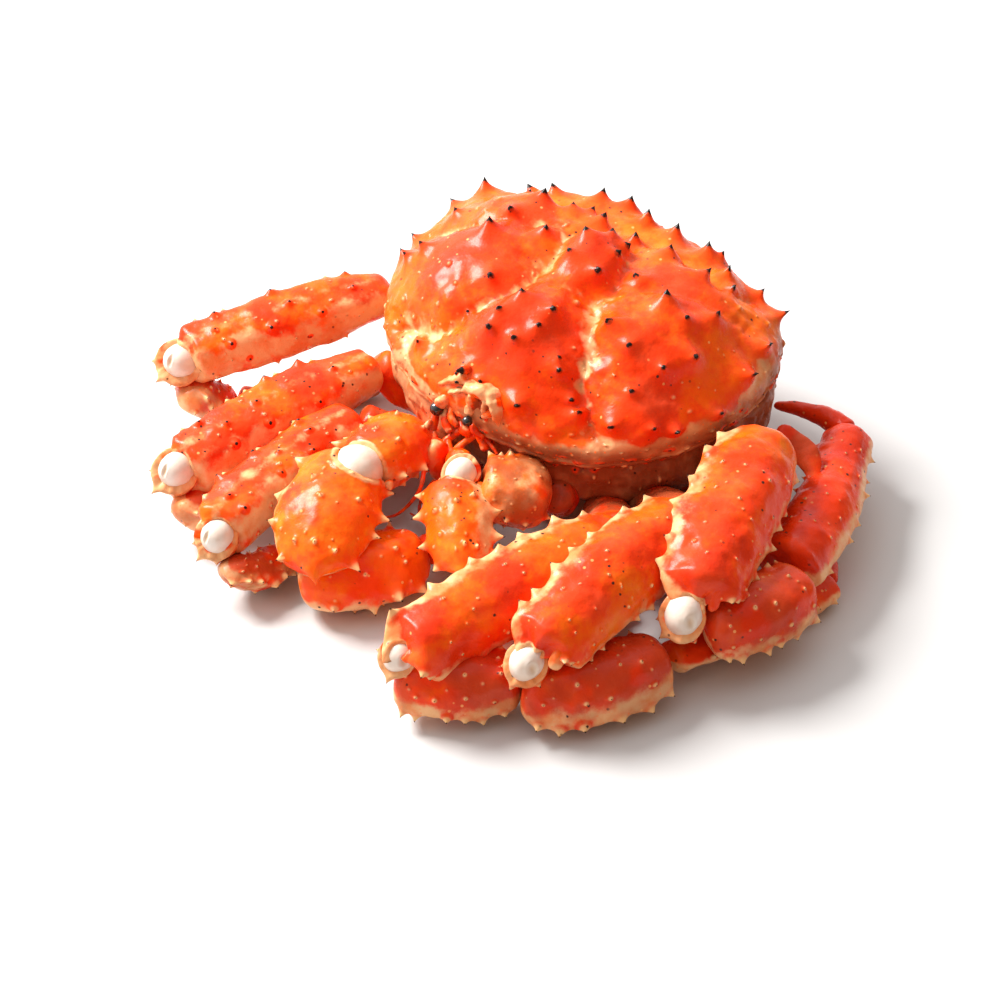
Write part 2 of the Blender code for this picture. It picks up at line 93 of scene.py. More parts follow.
# bumps spread at random: how many tries, how far out in mm, gap, seed, from and to on the way out
REACH = 1.3 * HALF_WIDTH
PIMPLE_SPREAD = (2600, REACH, 7.0, 11, -1, 0.93)
WART_SPREAD = (1500, REACH, 9.0, 12, 0.94, 1.3)
WALL_SPREAD = (900, 1.5 * REACH, 9.0, 13, 1.32, 1.5)
GROOVES = (  # depth, width, how cream, then the line
    (3.4, 4.5, 0.85, (
        (-80, -80), (-62, -75), (-46, -77), (-35, -70), (-25, -54), (-16, -41), (-13, -28), (-15, -12),
        (-15, 1),
    )),
    (1.8, 4.0, 0.5, ((-13, -28), (0, -27), (11, -20), (22, -20))),
    (4.2, 5.0, 0.95, (
        (22, -20), (30, -27), (36, -39), (42, -46), (43, -55), (50, -62), (56, -68), (64, -76),
    )),
    (3.4, 4.5, 0.7, ((22, -20), (28, -7), (25, 5), (19, 15), (14, 26), (4, 34))),
    (3.0, 5.0, 0.75, ((-15, 1), (-20, 14), (-12, 28), (4, 34))),
    (2.4, 4.0, 0.55, ((-20, 18), (-36, 17), (-54, 4), (-67, -4), (-88, -12))),
    (2.6, 4.0, 0.5, ((4, 34), (14, 46), (31, 49), (54, 45), (66, 50), (76, 60))),
    (2.6, 4.0, 0.5, ((4, 34), (-14, 48), (-34, 50), (-56, 44), (-72, 48), (-84, 56))),
    (1.6, 5.0, 0.25, ((25, 5), (38, 2), (46, -12), (40, -24))),
    (1.8, 5.0, 0.3, ((28, -7), (48, 12), (66, 22), (86, 30))),
    (1.6, 5.0, 0.2, ((52, -40), (66, -44), (84, -38))),
)  # fmt: skip
PUFFS = (  # the swollen lobes of the shell: x, y, height, radius
    (-2, -52, 3.5, 20), (-2, 8, 3.0, 13), (62, -28, 4.0, 22), (56, 20, 2.5, 17), (-58, -30, 4.0, 24),
    (-52, 20, 2.5, 17), (22, -72, 2.5, 14), (86, -52, 2.5, 14), (-40, -58, 1.5, 10),
)  # fmt: skip
PATCHES = (  # cream: x, y, strength, radius
    (-14, -16, 0.9, 9), (-15, 4, 0.7, 7), (44, -50, 0.8, 6), (60, -74, 0.8, 8), (-62, -78, 0.9, 12),
    (-10, -92, 0.7, 9),
)  # fmt: skip
BLUSHES = (  # pink to deep red: x, y, strength, radius
    (-2, -52, 0.9, 24), (2, 4, 0.9, 16), (-58, -52, 0.6, 20), (-52, -22, 0.7, 22), (66, -28, 0.6, 30),
    (40, -62, 0.5, 20), (-45, 10, 0.5, 20), (43, 21, 0.6, 14), (86, -50, 0.5, 16), (8, -68, 0.6, 18),
)  # fmt: skip
WALL = (  # under the margin: share of the outline, height
    (1.0, 0.0), (1.0, -2.0), (0.99, -4.5), (0.970, -7.0), (0.955, -9.0), (0.955, -11.0), (0.975, -15.0),
    (0.985, -24.0), (0.97, -34.0), (0.91, -42.0), (0.80, -47.0),
)  # fmt: skip
WALL_SPAN = 0.55  # of the outline's size, on the flat map
UNDER_DOME, IN_BELLY = (0, 0, -20.0), (0, 0, -60.0)  # points inside
BELLY = (  # from the underbody's rim to the middle of its belly: share of the outline, height
    (0.84, -41.0), (0.78, -46.0), (0.76, -52.0), (0.68, -64.0), (0.60, -78.0), (0.52, -90.0),
    (0.3, -95.0), (0.0, -96.0),
)  # fmt: skip
SEAM_FIRST, SEAM_GAP = -52, 21  # of the breastplate: y of one seam, and how far apart they are
# points on the flat maps: how far apart, and how many on the rim
CARAPACE_SPACING, CARAPACE_RIM = 1.18, 560
UNDERBODY_SPACING, UNDERBODY_RIM = 2.0, 300
# lumps of a surface: their size, seed, height and octaves
BODY_LUMPS = ((30, 7, 1.4, 3), (12, 17, 0.8, 3), (5, 8, 0.24, 3))
SEGMENT_LUMPS = ((24, 31, 1.5, 3), (9, 33, 0.35, 3), (3.5, 32, 0.07, 2))
MOUND_LUMPS = ((7, 91, 0.9, 3), (3, 92, 0.5, 3))

# ---- the limbs, as in the CAD: start, middle, end, (half width, half height), the way the back faces
LIMBS = {
    "leg_l1": {
        "base": ((56, -62, 18), (78, -86, 31), (95, -106, 46), (14, 13), UP),
        "merus": ((96, -107, 47), (80, -171, 49), (60, -233, 42), (19.5, 15.5), (0.6, -0.35, 0.7)),
        "carpus": ((51, -236, 20), (76, -222, 19.5), (101, -199, 18), (16.5, 14.5), (0.3, -0.5, 0.8)),
        "propodus": ((97, -195, 13), (94, -148, 10), (92, -106, 10), (12, 10.5), UP),
        "dactyl": ((92, -107, 10), (102, -89, 9.5), (118, -78, 9), (6, 5), UP),
    },
    "leg_l2": {
        "base": ((66, -42, 18), (98, -62, 33), (120, -83, 57), (14, 13.5), UP),
        "merus": ((120, -84, 59), (119, -148, 57), (115, -198, 48), (21, 15.5), (0.5, -0.1, 0.8)),
        "carpus": ((106, -205, 20), (132, -184, 19.5), (149, -147, 22), (18, 15.5), (0.3, -0.5, 0.8)),
        "propodus": ((150, -142, 16), (167, -84, 10), (181, -33, 9), (12, 8.5), UP),
        "dactyl": ((180, -34, 9), (168, -17, 8), (151, -11, 8), (5.5, 5), UP),
    },
    "leg_l3": {
        "base": ((74, -8, 20), (107, -11, 37), (129, -17, 63), (15, 14), UP),
        "merus": ((128, -12, 66), (143, -78, 63), (157, -125, 53), (23, 16), (0.4, 0, 0.9)),
        "carpus": ((163, -130, 33), (176, -103, 33), (184, -69, 32), (17, 14), (0.5, -0.5, 0.7)),
        "propodus": ((171, -64, 32), (160, -4, 33), (139, 56, 34), (16, 13.5), (0.3, -0.3, 0.9)),
        "dactyl": ((138, 56, 34.5), (116, 61, 36), (92, 55, 35), (7.5, 7), UP),
    },
    "leg_r1": {
        "base": ((-44, -66, 18), (-63, -86, 30), (-80, -101, 43), (13.5, 12.5), UP),
        "merus": ((-78, -105, 45), (-84, -163, 41), (-82, -214, 37), (17, 15.5), (0.5, -0.5, 0.6)),
        "carpus": ((-71, -220, 27), (-66, -211, 15), (-64, -185, 11), (13, 10), UP),
        "propodus": ((-65, -181, 10), (-76, -130, 8), (-84, -92, 8), (10.5, 8), UP),
        "dactyl": ((-84, -93, 8), (-87, -74, 7), (-87, -58, 6), (5, 4), UP),
    },
    "leg_r2": {
        "base": ((-60, -38, 22), (-84, -50, 36), (-99, -62, 50), (13.5, 12.5), UP),
        "merus": ((-96, -65, 52), (-114, -128, 47), (-129, -187, 42), (18, 16), (0.5, -0.55, 0.6)),
        "carpus": ((-122, -196, 31), (-119, -187, 17), (-116, -161, 12), (13, 11), UP),
        "propodus": ((-117, -157, 11.5), (-120, -115, 10), (-108, -82, 10), (11, 9), UP),
        "dactyl": ((-107, -83, 10), (-101, -60, 8), (-99, -42, 7), (5, 4.5), UP),
    },
    "leg_r3": {
        "base": ((-74, -4, 30), (-106, -6, 45), (-127, -10, 58), (14, 13), UP),
        "merus": ((-129, -8, 60), (-160, -66, 56), (-189, -114, 49), (17, 16.5), (0.55, -0.5, 0.65)),
        "carpus": ((-184, -123, 35), (-181, -112, 21), (-172, -97, 14), (13, 11.5), UP),
        "propodus": ((-174, -95, 13), (-149, -65, 10), (-123, -28, 10), (11, 10), UP),
        "dactyl": ((-123, -29, 10), (-113, 2, 10), (-101, 26, 9), (5.5, 5), UP),
    },
    "claw_l": {
        "base": ((24, -58, 16), (36, -76, 28), (43, -90, 41), (12, 11), UP),
        "merus": ((44, -94, 41), (30, -107, 47), (15, -117, 50), (20, 17), (0, -0.3, 0.9)),
        "carpus": ((2, -124, 50), (21, -143, 43), (40, -163, 33), (16, 14), (0.3, -0.5, 0.8)),
        "palm": ((48, -172, 18), (59, -152, 12), (64, -128, 11.5), (12.5, 11.5), UP),
        "finger": ((64, -129, 11.5), (58, -108, 12), (50, -96, 12), (6.5, 6), UP),
    },
    "claw_r": {
        "base": ((-22, -66, 20), (-34, -84, 33), (-45, -98, 44), (13, 12), UP),
        "merus": ((-47, -98, 45), (-42, -121, 51), (-41, -145, 54), (21, 18), (0, -0.3, 0.9)),
        "carpus": ((-46, -149, 53), (-35, -182, 45), (-21, -208, 33), (23, 17), (0.3, -0.5, 0.8)),
        "palm": ((-35, -207, 18), (-13, -178, 20), (2, -149, 21), (19, 17.5), (0.2, -0.3, 0.9)),
        "finger": ((2, -150, 21), (9, -121, 15.5), (16, -104, 11), (8, 7), UP),
    },
}
JOINTS = {  # middle, radii along the leg, across it and up
    "leg_l1_knee": ((55, -236, 37), (9.5, 7.5, 8.5)),
    "leg_l2_knee": ((110, -206, 40), (10.5, 8.5, 9.5)),
    "leg_l3_knee": ((155, -137, 45), (11, 9.5, 10)),
    "leg_r1_knee": ((-80, -217, 36), (9.5, 8.5, 9.5)),
    "leg_r2_knee": ((-130, -192, 42), (10.5, 9, 10)),
    "leg_r3_knee": ((-193, -118, 46), (10.5, 9.5, 10.5)),
    "claw_l_wrist": ((6, -121, 55), (8.5, 8, 10)),
    "claw_r_wrist": ((-40, -151, 56), (13.5, 13.5, 13.5)),
}
ABDOMEN = ((-6, 73, 56), (-5, 83, 28), (-4, 60, 5), (50, 9), (0, 1, 0.3))
EYES = {"eye_l": ((-7, -98, 71), 2.9), "eye_r": ((-29, -95.5, 68.5), 3.9)}
MOUTHPARTS = {"mouthparts_l": (-6, -107, 44), "mouthparts_r": (-21, -107, 44)}
MOUTHPART_HALF = (6.5, 7)
ANTENNAE = {
    "antenna_l": ((-13, -119, 42), (-20, -122, 28), (-26, -118, 12), (-36, -112, 5)),
    "antenna_r": ((-18, -121, 50), (-14, -132, 42), (-21, -142, 30), (-37, -142, 21)),
}
ANTENNA_RADII = (1.5, 1.1, 0.9, 0.7, 0.6)
FACE = (  # its small parts: name, line, radii, cream, blush, dark from this share on or not
    ("stalk_l", ((-6, -87, 86), (-8, -92, 79), (-8, -96, 73)), (3.0, 3.0, 2.6), 0.8, 0.2, 2),
    ("stalk_r", ((-19, -88, 81), (-26, -92, 74), (-29, -96, 70)), (3.2, 3.6, 3.6), 0.35, 0.3, 2),
    ("tooth", ((8, -89, 82), (4, -94, 78), (0, -96, 75)), (4.2, 2.6, 0.8), 0.4, 0.2, 0.88),
    ("spike_a", ((-14, -85, 94), (-15, -90, 96), (-17, -94, 97)), (3.4, 2.2, 0.7), 0.1, 0.5, 0.6),
    ("spike_b", ((-15, -86, 89), (-16, -91, 90), (-17, -95, 90)), (3.0, 2.0, 0.7), 0.1, 0.5, 0.55),
    ("feeler_a", ((-33, -90, 66), (-30, -99, 57), (-26, -107, 50)), (2.4, 2.8, 2.2), 0.4, 0.5, 2),
    ("feeler_b", ((-14, -90, 60), (-19, -97, 55), (-23, -104, 50)), (1.8, 2.2, 1.6), 0.3, 0.3, 2),
    ("feeler_c", ((-5, -90, 60), (-10, -96, 55), (-14, -102, 50)), (1.8, 2.2, 1.6), 0.3, 0.2, 2),
    ("feeler_d", ((-8, -90, 62), (-1, -93, 58), (3, -95, 54)), (2.2, 2.8, 2.4), 0.25, 0.4, 2),
    ("feeler_e", ((-17, -90, 65), (-12, -95, 62), (-7, -94, 60)), (2.0, 2.8, 2.0), 0.3, 0.6, 2),
    ("feeler_f", ((-2, -91, 60), (6, -94, 58), (12, -96, 55)), (1.3, 1.1, 0.6), 0.5, 0.6, 0.9),
    ("feeler_g", ((-27, -90, 69), (-23, -96, 63), (-18, -98, 59)), (2.2, 2.6, 2.0), 0.2, 0.5, 2),
    ("feeler_h", ((-26, -108, 49), (-28, -113, 45), (-27, -117, 42)), (1.4, 1.5, 0.7), 0.4, 0.4, 2),
    ("feeler_i", ((-20, -105, 50), (-21, -111, 46), (-22, -116, 42)), (1.9, 2.2, 1.4), 0.4, 0.4, 2),
    ("feeler_j", ((-31, -98, 62), (-32, -105, 57), (-33, -110, 53)), (1.7, 1.6, 0.8), 0.7, 0.3, 0.8),
    ("feeler_k", ((-20, -98, 54), (-14, -104, 51), (-8, -106, 48)), (1.7, 2.0, 1.5), 0.3, 0.2, 2),
    ("feeler_l", ((-28, -100, 57), (-24, -103, 53), (-19, -106, 49)), (1.5, 1.8, 1.4), 0.3, 0.4, 2),
    ("feeler_m", ((-9, -91, 68), (-4, -95, 64), (2, -95, 62)), (1.6, 2.2, 1.6), 0.2, 0.5, 2),
    ("feeler_n", ((-22, -91, 72), (-19, -96, 67), (-14, -97, 64)), (1.6, 2.0, 1.6), 0.5, 0.3, 2),
)
FACE_RIDGES = (  # of the mound seen from in front: how high, how wide, then the line's x and z
    (3.0, 2.4, ((-10, 89), (-3, 90), (4, 89), (9, 82), (9, 74))),
    (3.0, 2.2, ((-15, 91), (-24, 86), (-36, 77))),
    (2.4, 2.0, ((-16, 84), (-23, 80), (-31, 74))),
    (2.0, 2.2, ((-6, 86), (-8, 79), (-8, 72))),
    (1.8, 1.8, ((2, 86), (1, 79), (2, 73))),
)
FACE_GULLIES = (  # the creases between them, painted brown and dark as shade
    (2.0, 1.3, ((-14, 88), (-23, 83), (-33, 75))),
    (2.0, 1.6, ((-13, 83), (-14, 77), (-17, 70))),
    (2.2, 1.6, ((-2, 85), (-3, 79), (-4, 71))),
    (1.8, 1.5, ((-14, 79), (-20, 75), (-27, 70))),
    (1.6, 1.4, ((5, 84), (5, 78), (5, 72))),
)
MOUND_MIDDLE, MOUND_RADII = (-12, -86.8, 78.5), (26.0, 6.5, 13.5)
MOUND_TURN = np.array([[0.95, -0.2, 0.1], [0.2, 0.93, 0.3], [-0.12, -0.28, 0.95]])
HINGES = {  # the cream knobs beside a joint: from, to, half width
    "leg_l1": ((68, -229, 50), (67, -238, 40), 2.8),
    "leg_l2": ((124, -196, 52), (124, -206, 42), 3.2),
    "leg_l3": ((166, -123, 59), (166, -130, 47), 3.2),
    "claw_r": ((-25, -143, 52), (-20, -148, 50), 3.6),
    "claw_l": ((18, -118, 54), (18, -124, 50), 3.8),
}
LEFTWARDS = np.array([-0.81, -0.59, 0.0])  # level, from the crab's middle to its right front
HOUSINGS = {  # of a joint: way it opens, half angle, how thick left, below, right and above
    "leg_l1_knee": ((0.30, -0.74, 0.60), 70, (1.8, 2.4, 1.0, 1.5)),
    "leg_l2_knee": ((0.30, -0.74, 0.60), 70, (2.0, 2.8, 1.0, 1.5)),
    "leg_l3_knee": ((0.30, -0.74, 0.60), 70, (2.2, 3.4, 1.0, 1.5)),
    "leg_r1_knee": ((0.42, -0.62, 0.62), 68, (3.0, 3.6, 1.5, 2.0)),
    "leg_r2_knee": ((0.45, -0.64, 0.62), 68, (3.4, 3.8, 1.5, 2.0)),
    "leg_r3_knee": ((0.48, -0.62, 0.62), 68, (3.8, 4.4, 1.5, 2.0)),
    "claw_l_wrist": ((0.35, -0.62, 0.72), 66, (1.6, 0.5, 1.6, 1.6)),
}
HOUSING_TEETH = (  # degrees from the way it faces, degrees round it, radius, height
    (92, 0, 3.4, 2.4), (86, 50, 4.6, 4.4), (94, 100, 3.4, 2.6), (122, 26, 3.0, 2.2), (118, 78, 3.0, 2.2),
)  # fmt: skip

# share of the length, share of the half sizes
TAPERS = {
    "base": ((0, 0.85), (0.5, 1.0), (1, 0.8)),
    "merus": ((0, 0.66), (0.2, 0.92), (0.5, 1.0), (0.85, 0.93), (1, 0.92)),
    "carpus": ((0, 0.86), (0.3, 0.97), (0.7, 1.0), (1, 0.8)),
    "propodus": ((0, 0.88), (0.25, 1.0), (0.7, 1.0), (1, 0.8)),
    "dactyl": ((0, 1.0), (0.5, 0.88), (1, 0.34)),
    "palm": ((0, 0.8), (0.35, 1.0), (0.75, 0.95), (1, 0.7)),
    "claw_carpus": ((0, 0.82), (0.25, 0.98), (0.55, 1.04), (0.8, 0.86), (1, 0.56)),
    "wide_start": ((0, 1.16), (0.3, 1.06), (0.7, 0.9), (1, 0.76)),
    "finger": ((0, 1.0), (0.5, 0.8), (1, 0.25)),
    "flap": ((0, 0.8), (0.4, 1.0), (1, 0.5)),
    "even": ((0, 1.0), (0.5, 1.0), (1, 1.0)),
}

# ---- rows of bumps along a segment: angle, how many, first and last place, radius, height
LEFT_MERUS = {
    "tooth": (
        (2, 7, 0.05, 1.0, 6.6, 4.8), (184, 6, 0.05, 0.98, 5.2, 3.8), (335, 6, 0.08, 1.0, 3.4, 2.8),
        (48, 3, 0.15, 0.9, 2.1, 1.3), (82, 3, 0.1, 0.97, 2.1, 1.3), (115, 3, 0.1, 0.95, 2.1, 1.3),
        (148, 4, 0.1, 0.98, 2.6, 1.9), (230, 4, 0.1, 0.9, 2.4, 1.6), (290, 4, 0.1, 0.9, 2.2, 1.2),
    ),
    "pimple": ((65, 3, 0.1, 0.9, 1.3, 0.5), (100, 3, 0.1, 0.9, 1.3, 0.5), (135, 3, 0.1, 0.9, 1.3, 0.5)),
}  # fmt: skip
RIGHT_MERUS = {
    "wart": (
        (100, 3, 0.15, 0.95, 3.8, 2.2), (60, 3, 0.1, 0.95, 3.4, 2.0), (15, 3, 0.1, 0.95, 4.2, 2.8),
        (140, 2, 0.2, 0.9, 2.6, 1.3),
    ),
    "tooth": (
        (0, 5, 0.12, 0.97, 5.0, 2.8), (80, 3, 0.1, 0.95, 2.2, 1.3), (125, 3, 0.1, 0.95, 2.2, 1.3),
        (172, 4, 0.1, 0.98, 3.0, 2.2), (220, 4, 0.1, 0.9, 2.2, 1.2), (300, 4, 0.1, 0.9, 2.2, 1.2),
    ),
    "pimple": ((70, 4, 0.1, 0.9, 1.2, 0.45), (110, 4, 0.1, 0.9, 1.2, 0.45), (35, 4, 0.1, 0.9, 1.2, 0.45)),
}  # fmt: skip
CARPUS = {
    "tooth": (
        (90, 4, 0.05, 0.95, 2.6, 2.0), (45, 4, 0.05, 0.95, 2.8, 2.2), (130, 3, 0.15, 0.9, 2.4, 1.8),
        (2, 6, 0.02, 0.98, 5.0, 4.2), (176, 6, 0.05, 0.98, 4.0, 3.4), (205, 5, 0.1, 0.95, 3.4, 2.6),
        (240, 4, 0.15, 0.9, 2.6, 1.6), (310, 3, 0.15, 0.9, 2.6, 1.8),
    ),
    "pimple": ((70, 3, 0.1, 0.9, 1.3, 0.5), (110, 3, 0.1, 0.9, 1.3, 0.5), (150, 3, 0.1, 0.9, 1.3, 0.5)),
}  # fmt: skip
CLAW = {
    "tooth": (
        (90, 2, 0.2, 0.95, 3.2, 2.8), (52, 2, 0.15, 0.95, 3.4, 3.0), (130, 2, 0.1, 0.95, 3.4, 3.0),
        (4, 4, 0.05, 0.98, 6.2, 6.6), (180, 4, 0.05, 0.98, 6.4, 6.6), (215, 3, 0.15, 0.9, 4.0, 3.4),
        (250, 3, 0.15, 0.9, 3.0, 2.0), (315, 3, 0.15, 0.9, 3.6, 3.0),
    ),
    "pimple": (
        (70, 3, 0.1, 0.9, 1.4, 0.6), (110, 3, 0.1, 0.9, 1.4, 0.6), (155, 2, 0.1, 0.9, 1.4, 0.6),
        (28, 2, 0.1, 0.9, 1.4, 0.6),
    ),
}  # fmt: skip
CLAW_L_MERUS = {
    "tooth": (
        (4, 4, 0.05, 0.98, 6.2, 6.0), (30, 3, 0.15, 0.95, 4.0, 3.4), (180, 4, 0.05, 0.98, 4.0, 3.4),
        (215, 3, 0.15, 0.9, 3.0, 2.0), (250, 3, 0.15, 0.9, 3.0, 2.0), (315, 3, 0.15, 0.9, 3.6, 3.0),
    ),
    "pimple": ((60, 3, 0.1, 0.9, 1.6, 0.7), (100, 3, 0.1, 0.9, 1.4, 0.6), (140, 3, 0.1, 0.9, 1.4, 0.6)),
}  # fmt: skip
PROPODUS = {
    "tooth": (
        (90, 4, 0.1, 0.92, 2.0, 1.4), (50, 4, 0.1, 0.92, 2.0, 1.4), (130, 4, 0.1, 0.92, 2.2, 1.6),
        (5, 6, 0.08, 0.95, 3.4, 3.2), (178, 7, 0.06, 0.96, 3.8, 3.8), (205, 6, 0.1, 0.95, 3.2, 2.8),
        (250, 4, 0.1, 0.9, 2.2, 1.4), (310, 4, 0.1, 0.9, 2.2, 1.4),
    ),
    "pimple": ((70, 3, 0.1, 0.9, 1.2, 0.45), (110, 3, 0.1, 0.9, 1.2, 0.45), (30, 3, 0.1, 0.9, 1.2, 0.45)),
}  # fmt: skip
FLAP = {
    "wart": ((90, 4, 0.12, 0.9, 3.2, 1.6), (60, 4, 0.1, 0.9, 2.8, 1.4), (120, 4, 0.1, 0.9, 2.8, 1.4)),
    "pimple": ((75, 5, 0.1, 0.9, 1.6, 0.7), (105, 5, 0.1, 0.9, 1.6, 0.7), (40, 4, 0.1, 0.9, 1.6, 0.7)),
}  # fmt: skip

# ---- looks of the segments
# creams are bands of cream: angle, width, strength, and first and last place if not the whole length.
# ridges run along it and ends and starts reach out at its ends: angle, how much, width. seams run across it.
PLAIN_LOOK = {
    "start_cap": 6, "end_cap": 5, "spacing": 1.3, "seed": 0, "rows": {}, "rows_seed": None, "teeth": (),
    "socket": None, "creams": ((270, 75, 1.1),), "ridges": (), "ends": (), "starts": (), "seams": (),
    "blush": 0.4, "blush_end": 0.0, "brown_and_shade": 0.0,
}  # fmt: skip
KNEE_TEETH = ((0.985, 138, 5, 5, "tooth", UPRIGHT), (0.98, 150, 4, 3, "tooth", UPRIGHT))
CLAW_LOOK = {
    "rows": CLAW, "blush": 0.1, "ridges": ((2, 0.1, 20), (60, -0.05, 25), (120, -0.04, 22), (180, 0.1, 22)),
}  # fmt: skip
TIP_LOOK = {"blush": 1.0, "start_cap": 3, "end_cap": 4, "spacing": 1.0, "creams": ()}
LEFT_CLAW_CREAMS = ((160, 42, 0.85), (230, 70, 1.1), (290, 60, 1.1))
RIGHT_CLAW_CREAMS = ((205, 36, 0.9), (352, 22, 0.9, -1, 0.8), (270, 70, 1.1))
LOOKS = {  # of each sort of segment
    "base": {"blush": 0.7, "brown_and_shade": 0.8, "creams": ((20, 50, 0.5),)},
    "claw merus": {
        "rows": CLAW, "end_cap": 8, "blush": 0.15,
        "ends": ((90, -2, 50), (150, 5, 40)), "creams": ((200, 40, 0.9), (270, 70, 1.1)),
    },
    "left merus": {
        "rows": LEFT_MERUS, "teeth": KNEE_TEETH, "blush": 0.46, "blush_end": 0.4,
        "ends": ((-14, 18, 34), (66, 10, 48), (138, 9, 22)),
        "creams": ((0, 26, 1.0, 0.05, 2), (186, 30, 0.8), (270, 75, 1.1)),
        "ridges": ((2, 0.10, 17), (184, 0.09, 17), (50, -0.03, 22), (130, -0.03, 22)),
    },
    "right merus": {
        "rows": RIGHT_MERUS, "blush": 0.62, "blush_end": -0.15,
        "ends": ((25, 9, 34), (200, 10, 26), (100, 1, 50)),
        "creams": ((135, 46, 1.0), (55, 18, 0.45), (215, 70, 1.1), (270, 75, 1.1)),
        "ridges": ((12, 0.08, 16), (98, 0.06, 16), (182, 0.06, 18), (55, -0.03, 20), (140, -0.03, 20)),
    },
    "claw carpus": CLAW_LOOK | {"start_cap": 4, "end_cap": 9, "taper": "claw_carpus", "ends": ((80, 7, 60),)},
    "claw palm": CLAW_LOOK | {"start_cap": 16, "end_cap": 8},
    "carpus": {
        "rows": CARPUS, "start_cap": 9, "end_cap": 7,
        "creams": ((358, 38, 1.2), (25, 22, 0.6, 0.6, 2), (290, 80, 1.1)),
        "ridges": ((2, 0.10, 17), (178, 0.09, 17), (90, 0.03, 20), (45, -0.04, 20), (135, -0.04, 20)),
    },
    "propodus": {
        "rows": PROPODUS, "creams": ((345, 34, 1.0), (280, 60, 1.0)),
        "ridges": ((2, 0.08, 18), (178, 0.08, 18), (45, -0.03, 20), (135, -0.03, 20)),
    },
    "dactyl": TIP_LOOK,
    "claw finger": TIP_LOOK,
}  # fmt: skip
SIDE_LOOKS = {  # of the legs' segments on one side
    # the carpi and the right propodi are deep red and brown partly as painted shade under the meri above them
    "left carpus": {"blush": 0.95, "brown_and_shade": 0.3},
    "right carpus": {"blush": 0.7, "brown_and_shade": 0.5},
    "left propodus": {"blush": 0.8},
    "right propodus": {"blush": 1.0, "brown_and_shade": 0.6},
}
OWN_LOOKS = {  # of single segments
    "leg_l1_merus": {"ends": ((-14, 18, 30), (66, 3, 40), (130, 9, 28))},
    "leg_l3_base": {"ridges": ((225, 0.4, 40),), "ends": ((225, 12, 26),), "brown_and_shade": 0.7},
    "leg_l3_merus": {"blush": 0.60, "blush_end": 0.2},
    "leg_l3_propodus": {"taper": "wide_start", "creams": ((358, 34, 1.15), (280, 70, 1.0))},
    # claw_l_merus is tan, and browner partly as painted shade cast by the right claw
    "claw_l_merus": {
        "creams": ((200, 40, 0.9), (270, 60, 1.1), (80, 130, 0.54)), "brown_and_shade": 0.75, "rows": CLAW_L_MERUS,
    },
    "claw_l_carpus": {"creams": LEFT_CLAW_CREAMS},
    "claw_l_palm": {"creams": LEFT_CLAW_CREAMS},
    "claw_r_carpus": {"creams": RIGHT_CLAW_CREAMS, "starts": ((70, 7, 70),)},
    "claw_r_palm": {"creams": (*RIGHT_CLAW_CREAMS, (180, 28, 0.8), (120, 120, 1.0, -1, 0.05))},
}  # fmt: skip
ABDOMEN_LOOK = {
    "end_cap": 8, "spacing": 2.0, "creams": ((90, 70, 0.62),), "rows": FLAP, "rows_seed": 91, "seed": 90,
    "seams": ((0.20, 0.10), (0.38, 0.10), (0.56, 0.08), (0.74, 0.06)), "blush": 0.35, "brown_and_shade": 0.3,
}  # fmt: skip
FOLD = ((121, 4, 54), (139, 8, 48), (154, -8, 38), (9, 4), (0.45, -0.67, 0.59))  # behind leg_l3's merus
FOLD_LOOK = {"start_cap": 5, "blush": 1.0, "brown_and_shade": 0.5, "creams": ()}
MOUTHPART_LOOK = {
    "start_cap": 5, "end_cap": 5, "spacing": 0.9, "creams": ((90, 60, 0.6),), "ridges": ((90, 0.15, 14),),
}  # fmt: skip
HINGE_LOOK = {"spacing": 0.7, "creams": ((90, 400, 0.75, 0.35, 2),), "seed": 77, "blush": 0.3}
MASKS = ("cream", "brown_and_shade", "blush", "edge", "dark", "pale", "flare")  # of every piece


# ---- noise
def lattice(i, seed):
    """A number from -1 to 1 for each whole point of a grid."""
    h = i[..., 0] * 73856093 ^ i[..., 1] * 19349663 ^ i[..., 2] * 83492791 ^ (seed * 2654435761 & 0x7FFFFFFF)
    h = (h ^ (h >> 13)) * 1274126177 & 0x7FFFFFFFFFFF
    return ((h ^ (h >> 16)) & 0xFFFF) / 32767.5 - 1


def noise(points, size, seed=0):
    """Smooth noise from -1 to 1 whose lumps are about this size."""
    p = np.asarray(points, float) / size + seed * 17.37
    cell = np.floor(p).astype(np.int64)
    f = p - cell
    f = f * f * f * (f * (f * 6 - 15) + 10)
    total = np.zeros(p.shape[:-1])
    for corner in range(8):
        offset = np.array([corner & 1, corner >> 1 & 1, corner >> 2 & 1])
        weight = np.prod(np.where(offset, f, 1 - f), axis=-1)
        total += weight * lattice(cell + offset, seed)
    return total


def rough(points, size, seed=0, octaves=3):
    """Noise with finer noise on it."""
    return sum(noise(points, size / 2**k, seed + k) / 2**k for k in range(octaves))


def lumps(points, layers, seed=0):
    """Height of a surface's lumps."""
    return sum(rough(points, size, own + seed, octaves) * height for size, own, height, octaves in layers)


def step(low, high, value):
    """0 up to low, 1 from high on, and smooth between them."""
    t = np.clip((value - low) / (high - low), 0, 1)
    return t * t * (3 - 2 * t)


def hump(away, width):
    """1 at no distance, falling off over about this width."""
    return np.exp(-((away / width) ** 2))


def unit(vectors):
    """The vectors, each of length 1."""
    return vectors / np.linalg.norm(vectors, axis=-1, keepdims=True)


